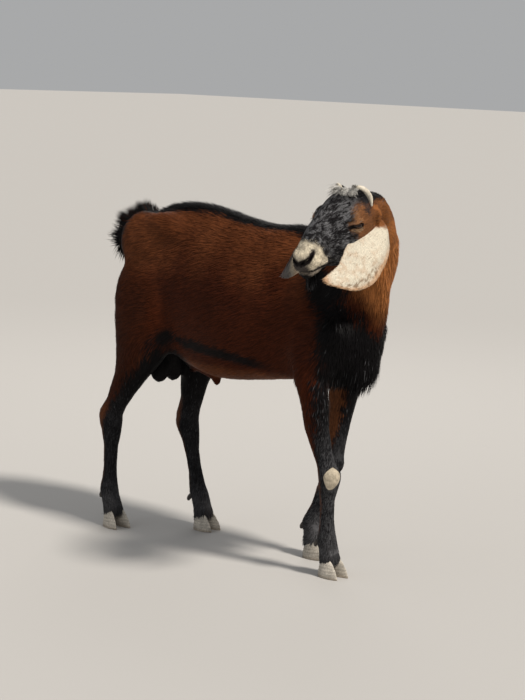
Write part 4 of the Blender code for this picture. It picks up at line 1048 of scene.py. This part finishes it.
# the tail's brush stands out all round the dock
TAIL = [(-0.318, 0, 0.750), (-0.352, -0.010, 0.766), (-0.386, -0.018, 0.755), (-0.410, -0.025, 0.712)]
count = 3000
along = draws.random(count) ** 0.85
spine = curve_through(TAIL, 12)
at = spine[np.minimum((along * (len(spine) - 1)).astype(int), len(spine) - 1)]
turn = draws.random(count) * 2 * np.pi
ring = np.column_stack((np.zeros(count), np.sin(turn), np.cos(turn)))
under = (ring[:, 2] < -0.35) & (along < 0.45)
ring[under, 2] *= -1
wide = np.interp(along, [0, 0.5, 1], [0.017, 0.019, 0.008])
place = at + ring * wide[:, None] + np.array(offset)
swing = sway(place, 0.02, 71) * 1.1
back = np.column_stack((np.full(count, -1.0), np.zeros(count), 0.45 - 1.0 * along))
start = unit(ring * (0.95 - 0.35 * along)[:, None] + back * (0.35 + 0.6 * along)[:, None] + swing)
end = ring * 0.5 + back * 0.9 + swing
end[:, 2] += np.where(ring[:, 2] < -0.2, -1.1, 0.25)
face_out = flat_on(ring + np.array((0.3, 0, 0)), start)
tone = np.array(BLACK) * (0.8 + 0.8 * draws.random(count))[:, None]
brown = draws.random(count) < 0.08
tone[brown] = np.array(MAHOGANY) * 0.6
made = tufts("locks_tail", place, face_out, start, 0.029 + 0.024 * draws.random(count) ** 2,
             0.0020, 0, tone, lock_look, steps=4, droop=end)
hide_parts("tail")

# the tuft on the poll, white-grey and tousled, falling to the forehead and to both sides
head_ahead, head_left, head_up = (np.array(axis) for axis in head_axes.transposed())


def poll_mask(place):
    face = in_head(place)
    oval = np.hypot((face[:, 0] - 0.070) / 0.095, face[:, 1] / 0.105)
    return step(1.15, 0.8, oval) * step(0.17, 0.21, face[:, 2])


place, out = sprouts(poll_mask, 1500000)
face = in_head(place)
wild = sway(place, 0.008, 81)
flow = unit(head_ahead * 0.55 + head_left * (face[:, 1] * 7)[:, None] + wild * 1.5 + head_up * 0.35)
end = head_ahead * 0.9 + head_left * (face[:, 1] * 9)[:, None] + wild * 1.8 - head_up * 0.25
pale = np.array((0.66, 0.64, 0.60)) * (0.55 + 0.6 * draws.random(len(place)))[:, None]
dark = draws.random(len(place)) < 0.16
pale[dark] = np.array((0.035, 0.032, 0.033))
made = tufts("locks_poll", place, out, flow, 0.023 * (0.4 + 0.8 * draws.random(len(place))),
             0.00085, 20 + 30 * draws.random(len(place)), pale, lock_look, steps=4, droop=end)
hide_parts("forelock")


def beard_mask(place):
    face = in_head(place)
    oval = np.hypot((face[:, 0] - 0.790) / 0.075, face[:, 1] / 0.055)
    return step(1.2, 0.8, oval) * step(-0.215, -0.240, face[:, 2])


place, out = sprouts(beard_mask, 1300000)
fall = np.column_stack((-0.10 + mottle(place, 0.01, 91) - 0.5, 0.30 + mottle(place, 0.01, 92) - 0.5,
                        np.full(len(place), -1.4)))
flow = unit(fall)
tone = np.array(BLACK) * (0.8 + 1.2 * draws.random(len(place)))[:, None]
grey_hair = draws.random(len(place)) < 0.16
tone[grey_hair] = np.array(GREY) * 0.8
away = flat_on(out * 0.2 - head_ahead * 0.3 + np.array((0, 1, 0)), flow)
made = tufts("locks_beard", place, away, flow, 0.034 * (0.5 + 0.6 * draws.random(len(place))),
             0.0013, 0, tone, lock_look, steps=4, droop=fall)
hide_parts("beard")

# Ears: a long sheet of gristle in thin white hair, rolled at its root, open and hollow towards the
# cheek below, with its rim turned a little out. Brown flecks thicken towards a tan rim.

EARS = {
    "left": [(-0.020, 0.190, -0.045, 0.046, 270), (-0.050, 0.236, -0.112, 0.072, 165),
             (0.025, 0.268, -0.160, 0.092, 108), (0.190, 0.296, -0.205, 0.102, 74),
             (0.328, 0.314, -0.240, 0.100, 56), (0.455, 0.320, -0.283, 0.095, 46),
             (0.600, 0.308, -0.302, 0.075, 40), (0.750, 0.276, -0.272, 0.044, 36),
             (0.905, 0.235, -0.220, 0.010, 32)],
    "right": [(-0.020, -0.190, -0.045, 0.046, 270), (-0.030, -0.238, -0.108, 0.072, 170),
              (0.060, -0.280, -0.160, 0.084, 118), (0.200, -0.305, -0.188, 0.092, 86),
              (0.350, -0.313, -0.200, 0.096, 68), (0.500, -0.304, -0.202, 0.095, 56),
              (0.650, -0.282, -0.212, 0.076, 48), (0.790, -0.250, -0.220, 0.048, 42),
              (0.920, -0.212, -0.215, 0.012, 36)],
}
HOLLOW = {"left": (0.0, -0.8, -0.6), "right": (0.0, 0.95, -0.3)}
EAR_WHITE, EAR_TAN, EAR_FLECK = (0.69, 0.63, 0.51), (0.47, 0.29, 0.17), (0.20, 0.125, 0.070)
ear_skin = coat_look("ear_skin_and_down", 0.62, 500, 0.4)
ear_hair = coat_look("ear_down", 0.55, 900, 0.2, sheen=0.10)


def ear_tint(shares, place, tip_shade_share):
    """Colour on an ear from 0 at the root to 1 at the tip, and 0 to 1 from its upper to its lower rim. The last
    argument is how strongly the tip turns to a painted blue-grey shade.
    """
    along, across, seed = shares.T
    blotch = mottle(place, 0.0042, 51) * 0.6 + mottle(place, 0.0020, 52) * 0.4
    base = np.tile(EAR_WHITE, (len(shares), 1))
    edge = np.maximum(step(0.14, 0.02, across), step(0.86, 0.98, across))
    low = np.maximum(step(0.80, 0.98, across) * step(0.15, 0.4, along), step(0.90, 1.0, along))
    flecks = 0.10 + step(0.15, 0.60, along) * (0.20 + 0.24 * step(0.3, 0.9, across))
    flecks *= step(0.44, 0.60, blotch) * 2.0
    tanned = mottle(place, 0.009, 53) * 0.5 + blotch * 0.5
    blend(base, EAR_TAN, low * 0.75 + edge * 0.15 + step(0.47, 0.66, tanned) * 0.42 * step(0.2, 0.5, along))
    is_fleck = seed < flecks
    base[is_fleck] = np.array(EAR_FLECK) * 0.75 + base[is_fleck] * 0.25
    # painted shade: the end of the tip goes blue-grey, as a white ear in shadow
    blend(base, (0.10, 0.108, 0.130), step(0.74, 0.86, along + 0.10 * (blotch - 0.5)) * tip_shade_share)
    # the coat of the cheek runs down over the root
    covered = np.interp(across, [0, 0.33, 0.5, 0.67, 0.83, 1], [0.27, 0.23, 0.18, 0.16, 0.13, 0.13])
    covered = step(0.03, -0.01, along - covered + 0.03 * (blotch - 0.5) + 0.02 * (seed - 0.5))[:, None]
    rust = np.array((0.235, 0.088, 0.030)) * (0.7 + 0.6 * blotch[:, None])
    return base * (1 - covered) + rust * covered


COLUMNS = 30
for side in ("left", "right"):
    rows = curve_through([(*head_point(*row[:3]), *row[3:]) for row in EARS[side]], 9)
    spine, along = rows[:, :3], np.gradient(rows[:, :3], axis=0)
    hollow = head_axes @ Vector(HOLLOW[side])
    bm = bmesh.new()
    place_on_ear = bm.verts.layers.float_vector.new("place_on_ear")
    grid = []
    for i, (centre, forward, (wide, wrap)) in enumerate(zip(spine, along, rows[:, 3:])):
        forward = Vector(forward).normalized()
        inward = (hollow - forward * hollow.dot(forward)).normalized()
        sideways = forward.cross(inward)
        wrap = math.radians(wrap)
        radius = wide / wrap
        share = i / (len(spine) - 1)
        row = []
        for k in range(COLUMNS + 1):
            u = k / COLUMNS
            turn = wrap * (u - 0.5)
            # the rim turns out, and shallow folds run down the sheet
            rim = 0.0042 * max(0, abs(2 * u - 1) - 0.80) / 0.20 * math.sin(math.pi * min(1, share * 1.15))
            fold = 0.0013 * math.sin(2 * math.pi * (u * 2.2 + 0.4 * share)) * math.sin(math.pi * share)
            fold += 0.0009 * math.sin(2 * math.pi * (share * 4.1 + u * 1.3)) * math.sin(math.pi * share)
            spot = Vector(centre) + inward * (radius * (1 - math.cos(turn)) - rim + fold)
            row.append(bm.verts.new(spot + sideways * radius * math.sin(turn)))
            row[-1][place_on_ear] = (share, u, 0)
        grid.append(row)
    for a, b in zip(grid, grid[1:]):
        for k in range(COLUMNS):
            bm.faces.new((a[k], a[k + 1], b[k + 1], b[k]))
    ear = object_of(f"ear_skin_{side}", bm)
    modified(ear, ("SOLIDIFY", dict(thickness=0.0026, offset=0)))
    bm = bmesh.new()
    bm.from_mesh(ear.data)
    bmesh.ops.recalc_face_normals(bm, faces=bm.faces)
    bm.to_mesh(ear.data)
    bm.free()
    mesh = ear.data
    mesh.calc_loop_triangles()
    corners = numbers(mesh.loop_triangles, "vertices", 3, np.int32)
    ear_points, ear_normals = numbers(mesh.vertices, "co"), numbers(mesh.vertices, "normal")
    shares = numbers(mesh.attributes["place_on_ear"].data, "vector")
    shares[:, 2] = 1.0
    # painted shade on the far ear's tip, none on the near ear
    far_tip_shade = 0.85 if side == "right" else 0
    painted(mesh, ear_tint(shares, ear_points, far_tip_shade) * 0.85, ear_skin)
    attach(ear, "root")
    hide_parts(f"ear_{side}")
    areas = face_areas(ear_points, corners)
    place, out = scattered(areas * 215000 * thin, corners, ear_points, ear_normals)
    tree = KDTree(len(ear_points))
    for i, spot in enumerate(ear_points):
        tree.insert(spot, i)
    tree.balance()
    nearest = np.array([tree.find(spot)[1] for spot in place])
    shares = shares[nearest]
    shares[:, 2] = draws.random(len(place))
    spine_way = along[np.clip((shares[:, 0] * (len(along) - 1)).round().astype(int), 0, len(along) - 1)]
    flow = flat_on(unit(spine_way) + sway(place, 0.02, 101) * 0.4, out)
    tone = ear_tint(shares, place, far_tip_shade) * (0.82 + 0.30 * draws.random(len(place)))[:, None]
    down = tufts(f"ear_hair_{side}", place, out, flow, 0.0072 * (0.7 + 0.6 * draws.random(len(place))),
                 0.00115, 4 + 7 * draws.random(len(place)), tone, ear_hair,
                 tone=(0.93, 1.04), ridge=0.15)

# Eyes: a dark amber ball under heavy lids, its pupil a level slot, with the clear bulge of the
# cornea in front. Lashes stand along the upper lid.

eye_look, nodes, links, shader = material("wet_amber_eye")
paint = nodes.new("ShaderNodeAttribute")
paint.attribute_name = "tint"
links.new(paint.outputs["Color"], shader.inputs["Base Color"])
settle(shader, Roughness=0.07, Coat_Weight=0.0, Coat_Roughness=0.03, Specular_IOR_Level=0.35)
for side, hand in (("left", 1), ("right", -1)):
    to_eye = lid_frame(hand)
    bm = bmesh.new()
    turn = Matrix.Rotation(math.radians(-90), 4, "X")
    bmesh.ops.create_uvsphere(bm, u_segments=72, v_segments=64, radius=EYE_RADIUS, matrix=turn)
    for vert in bm.verts:
        if vert.co.y > 0:
            vert.co.y += 0.0012 * max(0, 1 - (math.hypot(vert.co.x, vert.co.z) / 0.0088) ** 2)
        vert.co = to_eye @ vert.co
    eye = object_of(f"eyeball_{side}", bm)
    x, y, z = moved(numbers(eye.data.vertices, "co"), to_eye.inverted()).T
    reach = np.hypot(x, z)
    rays = mottle(np.column_stack((np.arctan2(z, x) * 0.004, reach * 0.35, 0 * x)), 0.0004, 7)
    iris = np.array((0.055, 0.023, 0.009)) * (0.55 + 0.75 * rays)[:, None]
    iris *= (1 - 0.75 * step(0.0062, 0.0082, reach))[:, None]
    slot = np.hypot(np.maximum(np.abs(x) - 0.0033, 0), z * 1.05)
    iris *= step(0.0013, 0.0021, slot)[:, None]
    white = np.array((0.022, 0.014, 0.012))
    outer = step(0.0078, 0.0090, reach)[:, None]
    eye_colour = np.where((y > 0)[:, None], iris * (1 - outer) + white * outer, white)
    painted(eye.data, eye_colour, eye_look)
    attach(eye, "root")
    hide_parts(f"eye_{side}")
    # lashes
    count = 34
    share = np.linspace(0.10, 0.94, count)
    place = np.array([lid_edge(hand, s, True, 0.0168) for s in share])
    axes = np.array(to_eye.to_3x3().normalized())
    fan = (0.5 - share) * 0.9
    start = unit(axes[:, 1] + axes[:, 0] * fan[:, None] - axes[:, 2] * 0.15)
    out = flat_on(axes[:, 2] + 0 * start, start)
    end = start - axes[:, 2] * 0.35
    lashes = tufts(f"lashes_{side}", place, out, start, 0.0065 * (0.7 + 0.5 * draws.random(count)),
                   0.00055, 0, np.tile((0.012, 0.010, 0.010), (count, 1)), lock_look, steps=3, droop=end)

# Callus: a bald, leathery, pale pad that kneeling has worn on the front of the right knee.

tree = BVHTree.FromPolygons([Vector(p) for p in points], [list(t) for t in triangles])
CALLUS_WIDE, CALLUS_HIGH, KNEE_RADIUS = 0.0235, 0.0290, 0.027
facing = Vector((0.83, -0.56, 0.10)).normalized()
wide_way = Vector((0, 0, 1)).cross(facing).normalized()
high_way = facing.cross(wide_way)
knee = offset + Vector((0.3165, -0.053, 0.236))
bm = bmesh.new()
share_of = bm.verts.layers.float.new("share")
rings = []
for i in range(26):
    share = min(i, 24) / 24
    ring = []
    for k in range(72):
        turn = 2 * math.pi * k / 72
        wobble = 1 + 0.05 * math.sin(2 * turn + 0.6) + 0.03 * math.sin(5 * turn)
        round_knee = CALLUS_WIDE * share * wobble * math.cos(turn) / KNEE_RADIUS
        outward_there = facing * math.cos(round_knee) + wide_way * math.sin(round_knee)
        spot = knee + high_way * (CALLUS_HIGH * share * wobble * math.sin(turn))
        hit = tree.ray_cast(spot + outward_there * 0.06, -outward_there, 0.1)[0]
        swell = 0.0038 * max(0.0, 1 - share ** 5) - 0.0012 * share ** 6
        cracks = 0.0005 * math.sin(7 * turn + 9 * share) * math.sin(11 * share) * share
        vert = bm.verts.new(hit + outward_there * (swell + cracks if i < 25 else -0.004))
        vert[share_of] = share
        ring.append(vert)
    rings.append(ring)
skinned(bm, rings, capped=False)
bmesh.ops.remove_doubles(bm, verts=rings[0], dist=1e-5)
bm.faces.new(rings[-1])
bmesh.ops.recalc_face_normals(bm, faces=bm.faces)
if sum((face.normal.dot(facing) for face in bm.faces)) < 0:
    bmesh.ops.reverse_faces(bm, faces=bm.faces)
callus = object_of("knee_callus", bm)
spots = numbers(callus.data.vertices, "co")
share = numbers(callus.data.attributes["share"].data, "value", 1)[:, 0]
tone = np.tile((0.47, 0.405, 0.305), (len(spots), 1)) * (0.70 + 0.55 * mottle(spots, 0.005, 41))[:, None]
tone *= (0.88 + 0.24 * mottle(spots, 0.0018, 42))[:, None]
blend(tone, (0.030, 0.024, 0.022), step(0.88, 0.97, share + 0.08 * (mottle(spots, 0.004, 43) - 0.5)))
callus_look = coat_look("bald_callus", 0.62, 620, 0.9, shine=0.25)
painted(callus.data, tone, callus_look)
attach(callus, "root")

# Horns: thin flat scurs that lie back along the poll, ringed by their yearly growth.

# ahead, out and up in head lengths, and the half thickness in metres
HORN = [(0.050, 0.070, 0.235, 0.0056), (0.035, 0.105, 0.268, 0.0058), (0.000, 0.150, 0.240, 0.0062),
        (-0.020, 0.185, 0.165, 0.0054), (0.004, 0.205, 0.085, 0.0020)]
horn_look = coat_look("ringed_horn", 0.42, 260, 0.7, shine=0.35)
for side, hand in (("left", 1), ("right", -1)):
    rows = curve_through([(*head_point(x, hand * y, z), 0, 0, 1, r, r, r * 0.8) for x, y, z, r in HORN], 16)
    for k, row in enumerate(rows):
        row[6:] *= 1 + 0.045 * math.sin(k * 1.45) + 0.020 * math.sin(k * 3.7)
    bm = bmesh.new()
    loft(bm, rows, sides=26, steps=1)
    horn = object_of(f"horn_skin_{side}", bm)
    spots = numbers(horn.data.vertices, "co")
    share = np.linspace(0, 1, len(rows)).repeat(26)[:len(spots)]
    tone = np.tile((0.56, 0.50, 0.40), (len(spots), 1))
    blend(tone, (0.64, 0.59, 0.49), share)
    tone *= (0.72 + 0.45 * mottle(spots, 0.006, 17) + 0.20 * (mottle(spots, 0.0016, 18) - 0.5))[:, None]
    painted(horn.data, tone, horn_look)
    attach(horn, "root")
    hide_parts(f"horn_{side}")

# Claws and dewclaws: pale horn, two to a foot and splayed, ringed by growth, scuffed and soiled
# where they meet the ground.

CLAW_SPACING, CLAW_HEIGHT, CLAW_WIDTH, CLAW_SIDES = 0.0275, 0.036, 0.0245, 36
# the heading and splay of each foot in degrees, and the length of its claws in metres
FEET = {("fore", "right"): (-4, 9, 0.064), ("fore", "left"): (6, 8, 0.062),
        ("hind", "right"): (-10, 15, 0.068), ("hind", "left"): (4, 9, 0.062)}
claw_look = coat_look("pale_claw_horn", 0.50, 330, 0.5, shine=0.30)


def leg_middle(end, hand, height):
    lead, rear, middle = leg_at(end, hand, height)
    return offset + Vector(((lead + rear) / 2, middle, height))


for (end, side), (heading, splay, long) in FEET.items():
    hand = 1 if side == "left" else -1
    heading = math.radians(heading)
    ahead = Vector((math.cos(heading), math.sin(heading), 0))
    left = Vector((-math.sin(heading), math.cos(heading), 0))
    coronet = leg_middle(end, hand, 0.038)
    for digit in (1, -1):
        word = "inner" if (digit == 1) == (side == "right") else "outer"
        swing = Matrix.Rotation(math.radians(digit * splay / 2), 3, "Z")
        fore, across = swing @ ahead, swing @ left
        heel = Vector((coronet.x, coronet.y, 0)) + across * (digit * CLAW_SPACING / 2) - fore * 0.020
        bm = bmesh.new()
        rings = []
        heights = np.concatenate([[0.0, 0.0012], np.linspace(0.0030, CLAW_HEIGHT, 16), [0.041, 0.044]])
        for height in heights:
            shrink = np.interp(height, [0, 0.0025, 0.018, 0.036, 0.044], [0.955, 1.0, 0.96, 0.83, 0.60])
            lean = np.interp(height, [0, 0.0025, 0.018, 0.036, 0.044], [0.0, 0.0, -0.08, -0.22, -0.27])
            ripple = 0.0004 * math.sin(height * 1400) + 0.0003 * math.sin(height * 620 + 1)
            ring = []
            for k in range(CLAW_SIDES):
                angle = 2 * math.pi * k / CLAW_SIDES
                reach_share = 0.5 + 0.5 * math.cos(angle)
                width = (1 - 0.62 * reach_share ** 3.2) * (1.0 if math.sin(angle) * digit > 0 else 0.72)
                reach = reach_share * long * (shrink + lean * 0.9) + long * (1 - shrink) * 0.35
                side_way = math.sin(angle) * CLAW_WIDTH * 0.58 * width * shrink
                z = height * (1 - 0.30 * (1 - reach_share) * (height > 0.0026))
                spot = heel + fore * (reach + ripple * math.cos(angle))
                spot += across * (side_way + digit * 0.0012 + ripple * math.sin(angle)) + Vector((0, 0, z))
                ring.append(bm.verts.new(spot))
            rings.append(ring)
        skinned(bm, rings)
        claw = object_of(f"claw_horn_{end}_{side}_{word}", bm)
        spots = numbers(claw.data.vertices, "co")
        bands = 0.88 + 0.12 * np.sin(spots[:, 2] * 900 + 3 * mottle(spots, 0.02, 29))
        bands *= 0.72 + 0.5 * mottle(spots, 0.010, 27)
        tone = np.tile((0.52, 0.475, 0.405), (len(spots), 1)) * bands[:, None]
        blend(tone, (0.22, 0.165, 0.11), step(0.010, 0.001, spots[:, 2]) * 0.5)
        if end == "fore" and side == "left":
            tone *= 0.72
        painted(claw.data, tone, claw_look)
        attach(claw, "root")
        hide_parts(f"claw_{end}_{side}_{word}")
        # the dewclaw behind the fetlock
        fetlock = leg_middle(end, hand, 0.080)
        centre = fetlock - ahead * 0.025 + left * (digit * 0.0125)
        bm = bmesh.new()
        stub = [(0.006, 0.004, 0.0058), (0.000, 0.000, 0.0060), (-0.005, -0.007, 0.0052),
                (-0.0065, -0.0125, 0.0030)]
        rows = [(*(centre + ahead * (a + 0.003) + Vector((0, 0, h))), *ahead, r, r, r) for a, h, r in stub]
        loft(bm, rows, sides=20, steps=4)
        small = object_of(f"dewclaw_horn_{end}_{side}_{word}", bm)
        spots = numbers(small.data.vertices, "co")
        tone = np.array((0.045, 0.038, 0.034)) * (0.6 + 0.8 * mottle(spots, 0.005, 33))[:, None]
        painted(small.data, tone, claw_look)
        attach(small, "root")
        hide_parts(f"dewclaw_{end}_{side}_{word}")
